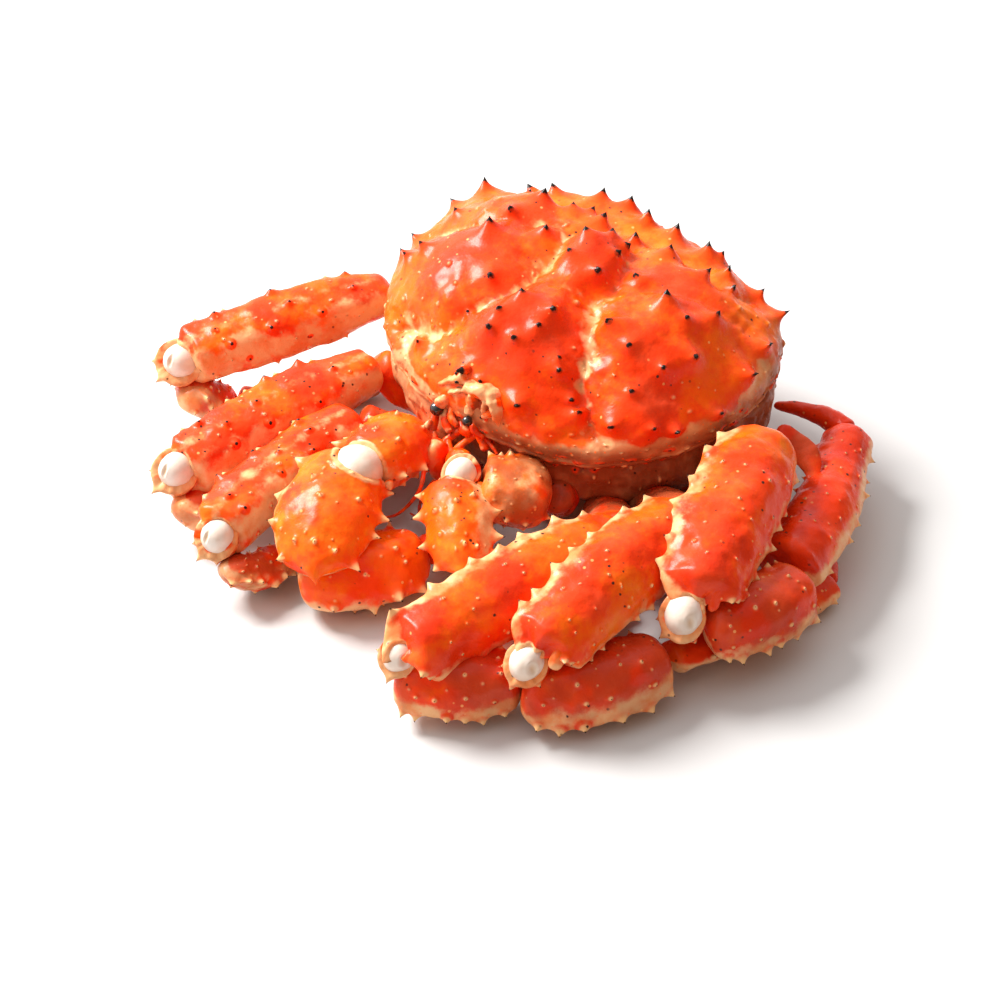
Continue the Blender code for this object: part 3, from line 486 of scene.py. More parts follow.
def smooth_line(stations, at):
    """Smooth interpolation of the stations' values at these places."""
    stations = np.asarray(stations, float)
    x, y = stations[:, 0], stations[:, 1:]
    slopes = np.gradient(y, x, axis=0)
    at = np.asarray(at, float)
    i = np.clip(np.searchsorted(x, at, side="right") - 1, 0, len(x) - 2)
    width = (x[i + 1] - x[i])[..., None]
    t = ((at - x[i]) / (x[i + 1] - x[i]))[..., None]
    return (
        (2 * t**3 - 3 * t**2 + 1) * y[i]
        + (t**3 - 2 * t**2 + t) * width * slopes[i]
        + (3 * t**2 - 2 * t**3) * y[i + 1]
        + (t**3 - t**2) * width * slopes[i + 1]
    )


def along_table(table, share):
    """Smooth interpolation of the table's rows, spread evenly from 0 to 1."""
    return smooth_line(np.column_stack([np.linspace(0, 1, len(table)), np.array(table, float)]), share)


def distance_to_line(points, line):
    """Distance from each point to a line of straight stretches."""
    nearest = np.full(len(points), np.inf)
    for a, b in zip(np.asarray(line[:-1], float), np.asarray(line[1:], float)):
        along = np.clip(((points - a) @ (b - a)) / ((b - a) @ (b - a)), 0, 1)
        nearest = np.minimum(nearest, np.linalg.norm(points - a - along[:, None] * (b - a), axis=1))
    return nearest


def spots(flat, table):
    """Sum of round, soft spots."""
    away = [((flat[:, 0] - x) ** 2 + (flat[:, 1] - y) ** 2) / radius**2 for x, y, _, radius in table]
    return sum(spot[2] * np.exp(-far) for spot, far in zip(table, away))


# ---- points on the flat map
RING_SHARES = (0.0, 0.05, 0.11, 0.19, 0.29, 0.42, 0.58, 0.78, 1.0)
SMALL_RING_SHARES = (0.0, 0.2, 0.45, 0.72, 1.0)
SMALL_BUMP = 2.6  # radius
RING_MOST = 34  # points on one ring
RING_GAP = 0.3  # at least, between them
ROW_GAP = 0.866  # of the spacing, between rows of an even spread
JITTER = 0.12  # of the spacing
RING_JITTER = 0.01


def ring_points(radius):
    """Offsets of the points round one bump, packed close at its tip."""
    offsets = [(0.0, 0.0)]
    shares = RING_SHARES if radius > SMALL_BUMP else SMALL_RING_SHARES
    for k, share in enumerate(shares[1:]):
        r = share * radius
        gap = r - shares[k] * radius
        count = int(max(6, min(TURN * r / max(gap, 0.2), TURN * r / RING_GAP, RING_MOST)))
        for j in range(count):
            a = TURN * (j + 0.5 * (k % 2)) / count
            offsets.append((r * math.cos(a), r * math.sin(a)))
    return np.array(offsets)


def map_distance(points, x, y, period):
    """Distance of each point from a place of the map, the short way round where it wraps."""
    dx, dy = points[:, 0] - x, points[:, 1] - y
    if period is not None:
        dy = (dy + period / 2) % period - period / 2
    return np.hypot(dx, dy)


def nearest_bump(points, bumps, period):
    """For each point the smallest distance to a bump, as a share of its radius, and which bump."""
    best = np.full(len(points), np.inf)
    owner = np.zeros(len(points), int)
    for k, (x, y, radius) in enumerate(bumps):
        share = map_distance(points, x, y, period) / radius
        closer = share < best
        best[closer], owner[closer] = share[closer], k
    return best, owner


def even_points(low, high, spacing, period, rng):
    """Points in staggered rows, each a little out of place."""
    rows = np.arange(low[0], high[0] + spacing, spacing * ROW_GAP)
    if period is None:
        gap = spacing
        columns = np.arange(low[1], high[1], spacing)
    else:
        count = max(8, round(period / spacing))
        gap = period / count
        columns = low[1] + period * np.arange(count) / count
    x, y = np.meshgrid(rows, columns, indexing="ij")
    y = y + 0.5 * gap * (np.arange(len(rows)) % 2)[:, None]
    points = np.stack([x.ravel(), y.ravel()], -1)
    return points + rng.uniform(-JITTER, JITTER, points.shape) * spacing


def spread_points(low, high, spacing, bumps, inside, period=None, seed=1):
    """Points of the map: an even spread, with rings of points round each bump.

    period is the size of the map across y where its two long edges meet.
    """
    rng = np.random.default_rng(seed)
    points = even_points(low, high, spacing, period, rng)
    points = points[inside(points)]
    if not bumps:
        return points
    places = np.array([bump[:3] for bump in bumps], float)
    share = nearest_bump(points, places, period)[0]
    parts = [points[share > 1.0 + 0.35 * spacing / 3]]
    for k, (x, y, radius) in enumerate(places):
        ring = ring_points(radius) + (x, y)
        ring += rng.uniform(-RING_JITTER, RING_JITTER, ring.shape)
        if period is not None:
            ring[:, 1] = low[1] + (ring[:, 1] - low[1]) % period
        ring = ring[inside(ring)]
        owner = nearest_bump(ring, places, period)[1]
        parts.append(ring[owner == k])
    return np.concatenate(parts)


def join_up(points):
    """Delaunay triangles of the points."""
    result = delaunay_2d_cdt([Vector(p) for p in points], [], [], 0, 1e-7, True)
    back = np.array([origins[0] if origins else -1 for origins in result[3]])
    faces = back[np.array(result[2], int)]
    return faces[(faces >= 0).all(axis=1)]


def join_up_round(points, period, margin):
    """The same on a map whose y wraps round."""
    y = points[:, 1]
    first, last = np.nonzero(y < margin)[0], np.nonzero(y > period - margin)[0]
    copies = np.concatenate([points, points[first] + (0, period), points[last] - (0, period)])
    own = np.concatenate([np.arange(len(points)), first, last])
    faces = join_up(copies)
    middle = copies[faces, 1].mean(axis=1)
    return own[faces[(middle >= 0) & (middle < period)]]


def sphere(count):
    """Points all over a unit ball, and the triangles that join them."""
    k = np.arange(count) + 0.5
    lat = np.arccos(1 - 2 * k / count)
    lon = math.pi * (1 + 5**0.5) * k
    ball = np.stack([np.cos(lon) * np.sin(lat), np.sin(lon) * np.sin(lat), np.cos(lat)], -1)
    flat = ball[:, :2] / np.maximum(1e-3, np.linalg.norm(ball[:, :2], axis=1, keepdims=True)) * lat[:, None]
    return ball, join_up(flat)


# ---- making a piece
MATERIALS = {}  # by slot


def make_piece(name, places, faces, masks, slot, nodes=()):
    """An object of these triangles that stands for the CAD nodes."""
    places = np.array(places, float)
    places[:, 2] = np.maximum(places[:, 2], 0.0)
    mesh = bpy.data.meshes.new(name)
    mesh.vertices.add(len(places))
    mesh.vertices.foreach_set("co", ((places + CENTRE) * MM).astype(np.float32).ravel())
    mesh.loops.add(faces.size)
    mesh.loops.foreach_set("vertex_index", faces.astype(np.int32).ravel())
    mesh.polygons.add(len(faces))
    mesh.polygons.foreach_set("loop_start", np.arange(0, faces.size, 3, dtype=np.int32))
    mesh.update()
    mesh.validate()
    mesh.shade_smooth()
    for mask in MASKS:
        values = masks.get(mask, np.zeros(len(places)))
        layer = mesh.attributes.new(mask, "FLOAT", "POINT")
        layer.data.foreach_set("value", np.clip(values, 0, 1).astype(np.float32))
    mesh.materials.append(MATERIALS[slot])
    made = bpy.data.objects.new(name, mesh)
    bpy.context.scene.collection.objects.link(made)
    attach(made, "root")
    if nodes:
        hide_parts(*nodes)


def outward_faces(places, faces, centre):
    """Turns all triangles the same way, so that the closed surface's volume is positive."""
    a, b, c = (places[faces[:, k]] - centre for k in range(3))
    volume = np.einsum("ij,ij->i", a, np.cross(b, c)).sum()
    return faces[:, ::-1] if volume < 0 else faces


def point_normals(places, faces):
    """The way the surface faces at each point."""
    cross = np.cross(places[faces[:, 1]] - places[faces[:, 0]], places[faces[:, 2]] - places[faces[:, 0]])
    total = np.zeros_like(places)
    for k in range(3):
        np.add.at(total, faces[:, k], cross)
    return total / np.maximum(np.linalg.norm(total, axis=1, keepdims=True), 1e-12)


def bump_profile(kind, q):
    """How high a kind of bump is at this share of its radius from its middle, and its masks there."""
    if kind == "spine":
        rise = 0.55 * (1 - q) ** 1.9 + 0.45 * (1 - q) ** 6
        return rise, {"dark": step(0.46, 0.86, rise), "flare": step(0.03, 0.30, rise)}
    if kind == "tooth":
        rise = 0.8 * (1 - q) ** 2.0 + 0.2 * (1 - q) ** 5
        foot = 0.26 * step(0.01, 0.1, rise) * (1 - step(0.2, 0.45, rise))
        return rise, {"dark": step(0.80, 0.90, rise), "pale": step(0.22, 0.5, rise), "flare": foot}
    if kind == "wart":
        rise = 0.6 * (1 - q**2) ** 2 + 0.4 * (1 - q) ** 2
        return rise, {"dark": step(0.74, 0.86, rise), "flare": step(0.02, 0.3, rise)}
    rise = (1 - q**2) ** 2
    if kind == "pimple":
        return rise, {"pale": 0.6 * step(0.45, 0.9, rise)}
    return rise, {"pale": step(0.45, 0.95, rise)}


def mark(masks, near, values):
    """Puts a bump's masks over those that are there."""
    for mask, value in values.items():
        masks[mask][near] = np.maximum(masks[mask][near], value)


def raise_bumps(map_points, places, normals, bumps, period=None):
    """Raises each bump along the normal at its foot; returns the new places and the bumps' masks."""
    masks = {mask: np.zeros(len(places)) for mask in ("dark", "pale", "flare")}
    moved = places.copy()
    for x, y, radius, height, kind, lean in bumps:
        share = map_distance(map_points, x, y, period) / radius
        near = np.nonzero(share < 1.0)[0]
        if not len(near):
            continue
        foot = near[np.argmin(share[near])]
        rise, marks = bump_profile(kind, share[near])
        moved[near] += unit(normals[foot] + np.asarray(lean, float)) * (height * rise)[:, None]
        mark(masks, near, marks)
    return moved, masks


# ---- the body
ON_DOME = (1.0, 0.93)  # the dome's marks fade between these shares of the way to the margin


def body_place(places):
    """From the carapace's own plane to the crab's frame."""
    pitch, roll, yaw = (math.radians(a) for a in BODY_TURN)
    about_x = [[1, 0, 0], [0, math.cos(pitch), -math.sin(pitch)], [0, math.sin(pitch), math.cos(pitch)]]
    about_y = [[math.cos(roll), 0, math.sin(roll)], [0, 1, 0], [-math.sin(roll), 0, math.cos(roll)]]
    about_z = [[math.cos(yaw), -math.sin(yaw), 0], [math.sin(yaw), math.cos(yaw), 0], [0, 0, 1]]
    turn = np.array(about_z) @ np.array(about_y) @ np.array(about_x)
    return places @ turn.T + BODY_PLACE


def front_or_rear(y):
    """Length and squareness of the outline on this side of the middle."""
    in_front = np.asarray(y) < 0
    length = np.where(in_front, FRONT_LENGTH, REAR_LENGTH)
    return length, np.where(in_front, FRONT_SQUARENESS, REAR_SQUARENESS)


def outline(angle):
    """The margin of the carapace."""
    c, s = np.cos(angle), np.sin(angle)
    length, power = front_or_rear(s)
    reach = (np.abs(c) ** power + np.abs(s) ** power) ** (-1 / power)
    return HALF_WIDTH * reach * c * (1 + REAR_FLARE * reach * s), length * reach * s


def on_map(x, y):
    """Angle, and share of the way to the margin, of a point whose outline is scaled from the margin's."""
    length, power = front_or_rear(y)
    share = np.full(np.shape(x), 0.5)
    across = x / HALF_WIDTH
    for _ in range(4):
        across = x / HALF_WIDTH / (1 + REAR_FLARE * (y / length) / np.maximum(share, 1e-6))
        share = (np.abs(across) ** power + np.abs(y / length) ** power) ** (1 / power)
    return np.arctan2(y / length, across), share


def dome_rise(share):
    """Height of the dome as a share of its top."""
    flat, steep = DOME_POWERS
    return (1 - np.minimum(share, 1) ** flat) ** steep


def lobes(x, y):
    """Height of the dome's lobes."""
    return sum(
        height * np.exp(-(((np.abs(x) if at_x else x) - at_x) ** 2 + (y - at_y) ** 2) / radius**2)
        for at_x, at_y, height, radius in LOBES
    )


def dome_map(x, y):
    """Where a point of the dome, given in the carapace's plane, lies on the flat map."""
    share = 0.5
    for _ in range(20):
        angle, share = on_map(x, y - DOME_LEAN * dome_rise(share))
        share = min(share, 0.998)
    edge_x, edge_y = outline(angle)
    turns = np.arcsin(share) / (math.pi / 2)
    return float(edge_x * turns), float(edge_y * turns)


def body_surface(points):
    """Places on the dome and its wall, how far down the wall they are, and how far out on the dome."""
    angle, turns = on_map(points[:, 0], points[:, 1])
    edge_x, edge_y = outline(angle)
    share = np.sin(np.minimum(turns, 1) * math.pi / 2)
    rise = dome_rise(share)
    x, y = edge_x * share, edge_y * share + DOME_LEAN * rise
    z = DOME_HEIGHT * rise + lobes(x, y) * np.minimum(1, 3 * (1 - share))
    down = np.clip((turns - 1) / WALL_SPAN, 0, 1)
    wall = along_table(WALL, down)
    below = turns > 1
    x = np.where(below, edge_x * wall[..., 0], x)
    y = np.where(below, edge_y * wall[..., 0], y)
    z = np.where(below, wall[..., 1], z)
    return np.stack([x, y, z], -1), down, share


def round_map(limit, reach, spacing, rim_count, bumps=()):
    """Points and triangles of a flat map that ends at this share of the carapace's outline."""
    corner = np.array((reach, reach))
    points = spread_points(-corner, corner, spacing, bumps, lambda p: on_map(p[:, 0], p[:, 1])[1] < limit)
    rim = np.stack(outline(np.linspace(0, TURN, rim_count, endpoint=False)), -1) * limit
    points = np.concatenate([points, rim])
    return points, join_up(points)


def scattered(tries, reach, gap, seed, first, last):
    """Points of the map spread at random, with a gap between them."""
    rng = np.random.default_rng(seed)
    found = []
    for p in rng.uniform((-reach, -reach), (reach, reach), (tries, 2)):
        free = all((p[0] - q[0]) ** 2 + (p[1] - q[1]) ** 2 > gap**2 for q in found)
        if free and first < on_map(*p)[1] < last:
            found.append(p)
    return found


def carapace_bumps():
    """The spines, small pimples between them, and the dots and warts of the wall."""
    rng = np.random.default_rng(5)
    spines = []
    for x, y, height in SPINES:
        lean = rng.uniform(-SPINE_LEAN, SPINE_LEAN, 3)
        tall = height * rng.uniform(0.95, 1.15)
        spines.append((*dome_map(x, y), SPINE_FOOT + SPINE_SPREAD * height, tall, "spine", lean))
    bumps = list(spines)
    for x, y in scattered(*PIMPLE_SPREAD):
        if min(math.hypot(x - spine[0], y - spine[1]) - spine[2] for spine in spines) >= 1.0:
            size = 0.7 + 1.1 * rng.random() ** 2
            bumps.append((x, y, size * 1.25, size * 0.6, "pimple", UPRIGHT))
    for x, y in scattered(*WART_SPREAD):
        size = rng.uniform(1.6, 3.2)
        bumps.append((x, y, size * 1.5, size * 0.5, "wart" if rng.random() < 0.6 else "dot", UPRIGHT))
    for x, y in scattered(*WALL_SPREAD):
        size = rng.uniform(1.2, 2.4)
        bumps.append((x, y, size * 1.3, size * 0.6, "dot" if rng.random() < 0.5 else "pimple", UPRIGHT))
    return bumps


def groove_marks(flat):
    """How cream, how creased and how sunken the shell is from its grooves."""
    cream, crease, valley = (np.zeros(len(flat)) for _ in range(3))
    for depth, width, strength, line in GROOVES:
        away = distance_to_line(flat, line)
        cream = np.maximum(cream, hump(away, width * 1.15) * strength)
        crease = np.maximum(crease, depth * hump(away, width * 0.7))
        valley = np.maximum(valley, depth * hump(away, width * 2.9))
    return cream, crease, valley


def grained(plan, along, across, slant=0.0):
    """The places squeezed one way and stretched the other, so that noise on them runs in streaks."""
    flat = plan[:, :2]
    return np.column_stack([flat @ (0.8, 0.6) * along + slant, flat @ (-0.6, 0.8) * across, plan[:, 2]])


def carapace_relief(plan, down, share, wander):
    """How far the shell stands out, and how cream it is from its grooves."""
    flat = plan[:, :2]
    on_dome = step(*ON_DOME, share)
    groove, crease, valley = groove_marks(flat + wander)
    relief = (1.2 * spots(flat, PUFFS) - crease * 0.7 - valley * 1.9 + 1.4) * on_dome
    relief += lumps(plan, BODY_LUMPS)
    for x, y, height in SPINES:  # each spine stands on a low mound
        away = np.hypot(flat[:, 0] - x, flat[:, 1] - y)
        relief += 0.2 * height * hump(away, 7.5) * step(1.0, 0.97, share)
    wrinkle = noise(grained(plan, 2.6, 0.8, noise(plan, 40, 13) * 1.5), 4.2, 9)
    relief += wrinkle * 0.85 * np.clip(groove * 1.4, 0, 1) * on_dome
    # the folded skin under the margin
    folds = np.sin(down * 52 + rough(plan, 40, 14) * 3.0) * step(0.03, 0.10, down) * step(0.42, 0.3, down)
    relief += folds * 0.8 + rough(plan, 16, 15) * 1.6 * step(0.2, 0.5, down)
    return relief, groove


def carapace_masks(plan, down, share, wander, groove):
    """Cream veins and patches, a cream band along the margin, brown painted shade on the margin and the wall
    under it, most on the front left, and blushes.
    """
    flat = plan[:, :2] + wander
    streaks = noise(grained(plan, 2.2, 0.7), 5.0, 19)
    patches = np.minimum(spots(flat, PATCHES), 1)
    veins = np.maximum(groove, patches) * (0.85 + 0.55 * streaks + 0.3 * rough(plan, 9, 18))
    left = step(-30, 10, plan[:, 0])
    front_left = left * step(75, 40, plan[:, 1])
    uneven = share + 0.03 * rough(plan, 22, 20) + 0.012 * rough(plan, 6, 22)
    band_right = step(0.955, 1.0, uneven) * step(80, 40, plan[:, 1]) * (1 - left) * 0.85
    band_left = step(0.925, 0.985, uneven) * left * step(60, 20, plan[:, 1]) * 0.9
    # painted shade: browner along the margin, most on the front left, and on a band in front
    at_margin = step(0.955, 1.0, share) * (0.35 + 0.65 * front_left)
    shade = at_margin * np.clip(0.88 + 0.9 * rough(plan, 13, 23), 0, 0.95)
    band_shade = 0.42 * step(0.93, 0.97, uneven) * front_left * step(-0.4, 0.3, rough(plan, 16, 28))
    # painted shade: browner on the lower wall, under the overhang of the margin
    skin = step(0.20, 0.34, down + 0.05 * rough(plan, 20, 24)) * (0.35 + 0.5 * front_left)
    return {
        "cream": np.maximum(veins * step(*ON_DOME, share), np.maximum(band_right, band_left)),
        "brown_and_shade": np.maximum(skin * (1 + 0.3 * rough(plan, 9, 25)), np.maximum(shade, band_shade)),
        "blush": spots(flat, BLUSHES) + 0.15,
        "edge": step(0.94, 0.99, share) * step(0.5, 0.35, down),
    }


def carapace():
    """The spiny dome and the wall under its margin."""
    bumps = carapace_bumps()
    limit = 1 + WALL_SPAN
    points, faces = round_map(limit, HALF_WIDTH * limit, CARAPACE_SPACING, CARAPACE_RIM, bumps)
    plan, down, share = body_surface(points)
    wander = np.stack([rough(plan, 12, 3), rough(plan, 12, 4)], -1) * 2.6
    relief, groove = carapace_relief(plan, down, share, wander)
    faces = outward_faces(plan, faces, UNDER_DOME)
    places = plan + point_normals(plan, faces) * relief[:, None]
    places, masks = raise_bumps(points, places, point_normals(places, faces), bumps)
    masks |= carapace_masks(plan, down, share, wander, groove)
    make_piece("carapace_skin", body_place(places), faces, masks, "shell", ["carapace"])


def underbody():
    """The side wall and the belly, with a seam of the breastplate between each pair of legs."""
    points, faces = round_map(1.0, 120, UNDERBODY_SPACING, UNDERBODY_RIM)
    angle, turns = on_map(points[:, 0], points[:, 1])
    edge_x, edge_y = outline(angle)
    size, height = along_table(BELLY, 1 - np.minimum(turns, 1)).T
    places = np.stack([edge_x * size, edge_y * size, height], -1)
    faces = outward_faces(places, faces, IN_BELLY)
    from_seam = np.abs(((places[:, 1] - SEAM_FIRST) / SEAM_GAP + 0.5) % 1 - 0.5) * SEAM_GAP
    relief = rough(places, 14, 21) * 0.8 - 1.6 * hump(from_seam, 2.2)
    places = places + point_normals(places, faces) * relief[:, None]
    belly = step(-72, -44, height) * 0.6 + 0.5 * hump(from_seam, 1.8)
    masks = {
        "cream": 0.52 + 0.5 * rough(places, 18, 26),
        "blush": 0.25 + 0.5 * rough(places, 26, 27),
        "brown_and_shade": np.clip(belly + 0.3 * rough(places, 12, 28), 0, 0.9),
    }
    make_piece("underbody_skin", body_place(places), faces, masks, "shell_pale", ["underbody"])


# ---- limb segments
POLES = 6  # points at each end of a segment's map, all of them the end of its axis
END_GAP = 0.4  # between these and the other points
PROFILE_STEP = 0.4
END_POWER = 2.4  # of the rounded ends: 2 is an ellipse
WRAP_MARGIN = 12.0  # mm of the map repeated past its long edges, at most
SEAM_WIDTH, SEAM_DEPTH = 1.5, 1.8  # of the seams across a segment
DRAWN_SHARE, DRAWN_MOST = 0.45, 34  # how much of a segment, and how many mm, an end draws out at most
COLLAR_AT, COLLAR_WIDTH = 1.12, 0.11  # the raised shell round a joint, in radii of the joint
RIM_AT, RIM_WIDTH = 1.08, 0.15  # its cream rim


def axis_at(shape, along):
    """Points on the bent axis, and the directions across, up and along it."""
    start, middle, end = (np.array(p, float) for p in shape[:3])
    control = 2 * middle - (start + end) / 2
    t = np.asarray(along, float)[..., None]
    point = start * (1 - t) ** 2 + control * 2 * t * (1 - t) + end * t**2
    forward = unit((control - start) * (1 - t) + (end - control) * t)
    side = unit(np.cross(forward, np.array(shape[4], float)))
    return point, side, np.cross(side, forward), forward


def axis_length(shape):
    """Length of the bent axis, near enough."""
    start, middle, end = (np.array(p, float) for p in shape[:3])
    return np.linalg.norm(middle - start) + np.linalg.norm(end - middle)


def mean_half(shape):
    """Mean of the half width and the half height."""
    return (shape[3][0] + shape[3][1]) / 2


def cap(distance, length):
    """Share of the full section at this distance from a rounded end."""
    q = np.clip(1 - distance / length, 0, 1)
    return (1 - q**END_POWER) ** (1 / END_POWER)


def profile_of(shape, look):
    """The profile as a dense line: run along the surface, place on the axis, share of the half sizes."""
    length = axis_length(shape)
    dense = np.linspace(0, length, 400)
    size = smooth_line(TAPERS[look["taper"]], dense / length)[:, 0]
    size = size * cap(dense, look["start_cap"]) * cap(length - dense, look["end_cap"])
    steps = np.hypot(np.diff(dense), np.diff(size) * mean_half(shape))
    run = np.concatenate([[0], np.cumsum(steps)])
    at = np.linspace(0, run[-1], int(run[-1] / PROFILE_STEP))
    return at, np.interp(at, run, dense), np.interp(at, run, size)


def joint_frame(joint):
    """Middle, radii and directions of a joint's egg, whose long axis follows the segment before it."""
    middle, radii = JOINTS[joint]
    start, _, end = (np.array(p, float) for p in LIMBS[joint.rsplit("_", 1)[0]]["merus"][:3])
    forward = unit(end - start)
    side = unit(np.cross(forward, (0, 0, 1.0)))
    return np.array(middle, float), np.array(radii, float), np.stack([forward, side, np.cross(side, forward)])


def rows_of(kinds, seed):
    """Bumps in rows along a segment: share of the length, angle, radius, height, kind and lean."""
    rng = np.random.default_rng(seed)
    bumps = []
    for kind, rows in kinds.items():
        for degrees, count, first, last, radius, height in rows:
            for k in range(count):
                along = first + (last - first) * (k + 0.5 + rng.uniform(-0.3, 0.3)) / count
                turned = degrees + rng.uniform(-8, 8)
                scale = rng.uniform(0.8, 1.2)
                tall = height * scale * rng.uniform(0.9, 1.1)
                bumps.append((along, turned, radius * scale, tall, kind, UPRIGHT))
    return bumps


def bumps_on_map(shape, look, run, places_along):
    """The segment's bumps, moved to their places on its map."""
    seed = look["seed"] if look["rows_seed"] is None else look["rows_seed"]
    length, mean = axis_length(shape), mean_half(shape)
    moved = []
    for along, degrees, *rest in rows_of(look["rows"], seed) + list(look["teeth"]):
        x = float(np.interp(along * length, places_along, run))
        moved.append((x, math.radians(degrees) % TURN * mean, *rest))
    return moved


def tube_map(total, period, bumps, look):
    """Points and triangles of a map that wraps round, and which points are at its ends."""

    def inside(p):
        return (p[:, 0] > END_GAP) & (p[:, 0] < total - END_GAP)

    points = spread_points((0, 0), (total, period), look["spacing"], bumps, inside, period, look["seed"] + 1)
    ring = np.arange(POLES) * period / POLES + 0.01
    start = len(points) + np.arange(POLES)
    end = start + POLES
    rings = [np.column_stack([np.zeros(POLES), ring]), np.column_stack([np.full(POLES, total), ring + 0.02])]
    points = np.concatenate([points, *rings])
    faces = join_up_round(points, period, min(WRAP_MARGIN, period / 3))
    merged = np.arange(len(points))
    merged[start], merged[end] = start[0], end[0]
    faces = merged[faces]
    whole = (faces[:, 0] != faces[:, 1]) & (faces[:, 1] != faces[:, 2]) & (faces[:, 0] != faces[:, 2])
    return points, faces[whole], np.concatenate([start, end])


def off(around, degrees):
    """Angle from this one, in degrees from -180 to 180."""
    return (np.degrees(around) - degrees + 180) % 360 - 180


def slanted(along, at, total, length, around, look):
    """Places along the axis, with the segment's ends drawn out on some sides."""
    stretch = min(length * DRAWN_SHARE, DRAWN_MOST)
    late = np.interp(at, [total - stretch, total], [0, 1])
    early = np.interp(at, [0, 4, stretch], [0, 1, 0])
    for degrees, amount, width in look["ends"]:
        along = along + amount * late**1.5 * hump(off(around, degrees), width)
    for degrees, amount, width in look["starts"]:
        along = along - amount * early**1.5 * hump(off(around, degrees), width)
    return along


def tube_surface(shape, along, around, size, look):
    """The smooth outside of a segment."""
    length = axis_length(shape)
    centre, side, up, forward = axis_at(shape, np.clip(along / length, 0, 1))
    beyond = np.where(along > length, along - length, np.minimum(along, 0))
    centre = centre + forward * beyond[:, None]
    form = 1.0
    for degrees, amount, width in look["ridges"]:
        form = form + amount * hump(off(around, degrees), width)
    half_side, half_up = shape[3]
    across = side * (half_side * np.cos(around))[:, None] + up * (half_up * np.sin(around))[:, None]
    return centre + across * (size * form)[:, None]


def seams_across(share, around, length, seams):
    """How near the seams across a segment each of its points is."""
    near = np.zeros(len(share))
    for at, bend in seams:
        away = share - at - bend * np.cos(around) ** 2
        near = np.maximum(near, hump(away * length, SEAM_WIDTH))
    return near


def raise_collar(places, normals, joint, seed):
    """Swells the shell round the joint that lies in it; returns the places and how near its rim each is."""
    middle, radii, basis = joint_frame(joint)
    away = np.linalg.norm((places - middle) @ basis.T / radii, axis=1)
    distance = np.linalg.norm(places - middle, axis=1, keepdims=True)
    outward = (places - middle) / np.maximum(distance, 1e-6)
    raised = hump(away - COLLAR_AT, COLLAR_WIDTH) * (1.1 + 0.9 * rough(places, 7, 51 + seed))
    places = places + (0.6 * normals + 0.5 * outward) * raised[:, None]
    near = hump(away - RIM_AT, RIM_WIDTH) * (1.0 + 0.7 * rough(places, 6, 52 + seed))
    return places, np.maximum(near, 0)


def segment_masks(places, share, around, collar, seam, look):
    """Cream bands, rim and belly side, blush in patches, and brown in patches, which on some segments is
    painted shade.
    """
    seed = look["seed"]
    patchy = rough(places, 16, 41 + seed) * 0.30 + rough(places, 6, 42 + seed) * 0.16
    cream = np.zeros(len(places))
    for row in look["creams"]:
        degrees, width, strength, first, last = row if len(row) == 5 else (*row, -1, 2)
        reach = step(first - 0.1, first + 0.1, share), step(last + 0.1, last - 0.1, share)
        cream = np.maximum(cream, hump(off(around, degrees), width) * reach[0] * reach[1] * strength)
    cream = np.maximum(cream * (1 + patchy) + patchy * 0.25 * (cream > 0.05), collar)
    # brown in patches; on the shaded segments it is painted shade
    brown_patches_and_shade = look["brown_and_shade"] * step(-0.3, 0.5, rough(places, 14, 44 + seed) + 0.3)
    return {
        "cream": cream,
        "brown_and_shade": np.maximum(brown_patches_and_shade, 0.6 * seam),
        "blush": look["blush"] + look["blush_end"] * (share - 0.5) + 0.5 * rough(places, 22, 43 + seed),
        "edge": cream * 0.5 - collar,
    }


def segment(name, shape, look, nodes=None):
    """One shell segment of a limb, which stands for the node of its name if no other nodes are given."""
    look = PLAIN_LOOK | look
    run, places_along, sizes = profile_of(shape, look)
    length, mean, total, seed = axis_length(shape), mean_half(shape), run[-1], look["seed"]
    bumps = bumps_on_map(shape, look, run, places_along)
    points, faces, ends = tube_map(total, TURN * mean, bumps, look)
    size = np.interp(points[:, 0], run, sizes)
    size[ends] = 0.0
    around = points[:, 1] / mean
    along = slanted(np.interp(points[:, 0], run, places_along), points[:, 0], total, length, around, look)
    places = tube_surface(shape, along, around, size, look)
    faces = outward_faces(places, faces, places.mean(axis=0))
    seam = seams_across(along / length, around, length, look["seams"])
    relief = (lumps(places, SEGMENT_LUMPS, seed) - SEAM_DEPTH * seam) * np.minimum(1, size * 2)
    places = places + point_normals(places, faces) * relief[:, None]
    collar = np.zeros(len(points))
    if look["socket"]:
        places, collar = raise_collar(places, point_normals(places, faces), look["socket"], seed)
    places, masks = raise_bumps(points, places, point_normals(places, faces), bumps, TURN * mean)
    masks |= segment_masks(places, along / length, around, collar, seam, look)
    used = np.zeros(len(points), bool)
    used[faces.ravel()] = True
    masks = {mask: values[used] for mask, values in masks.items()}
    faces = (np.cumsum(used) - 1)[faces]
    make_piece(f"{name}_skin", places[used], faces, masks, "shell", [name] if nodes is None else nodes)


def look_of(limb, kind):
    """The look of a limb's segment: its sort's, then its side's, then its own."""
    side = "left" if limb.startswith("leg_l") else "right"
    sort = f"claw {kind}" if limb.startswith("claw") else f"{side} {kind}"
    look = LOOKS.get(sort) or LOOKS[kind]
    look = {"taper": kind} | look | SIDE_LOOKS.get(sort, {}) | OWN_LOOKS.get(f"{limb}_{kind}", {})
    if kind in ("merus", "carpus"):
        look["socket"] = f"{limb}_wrist" if limb.startswith("claw") else f"{limb}_knee"
    return look


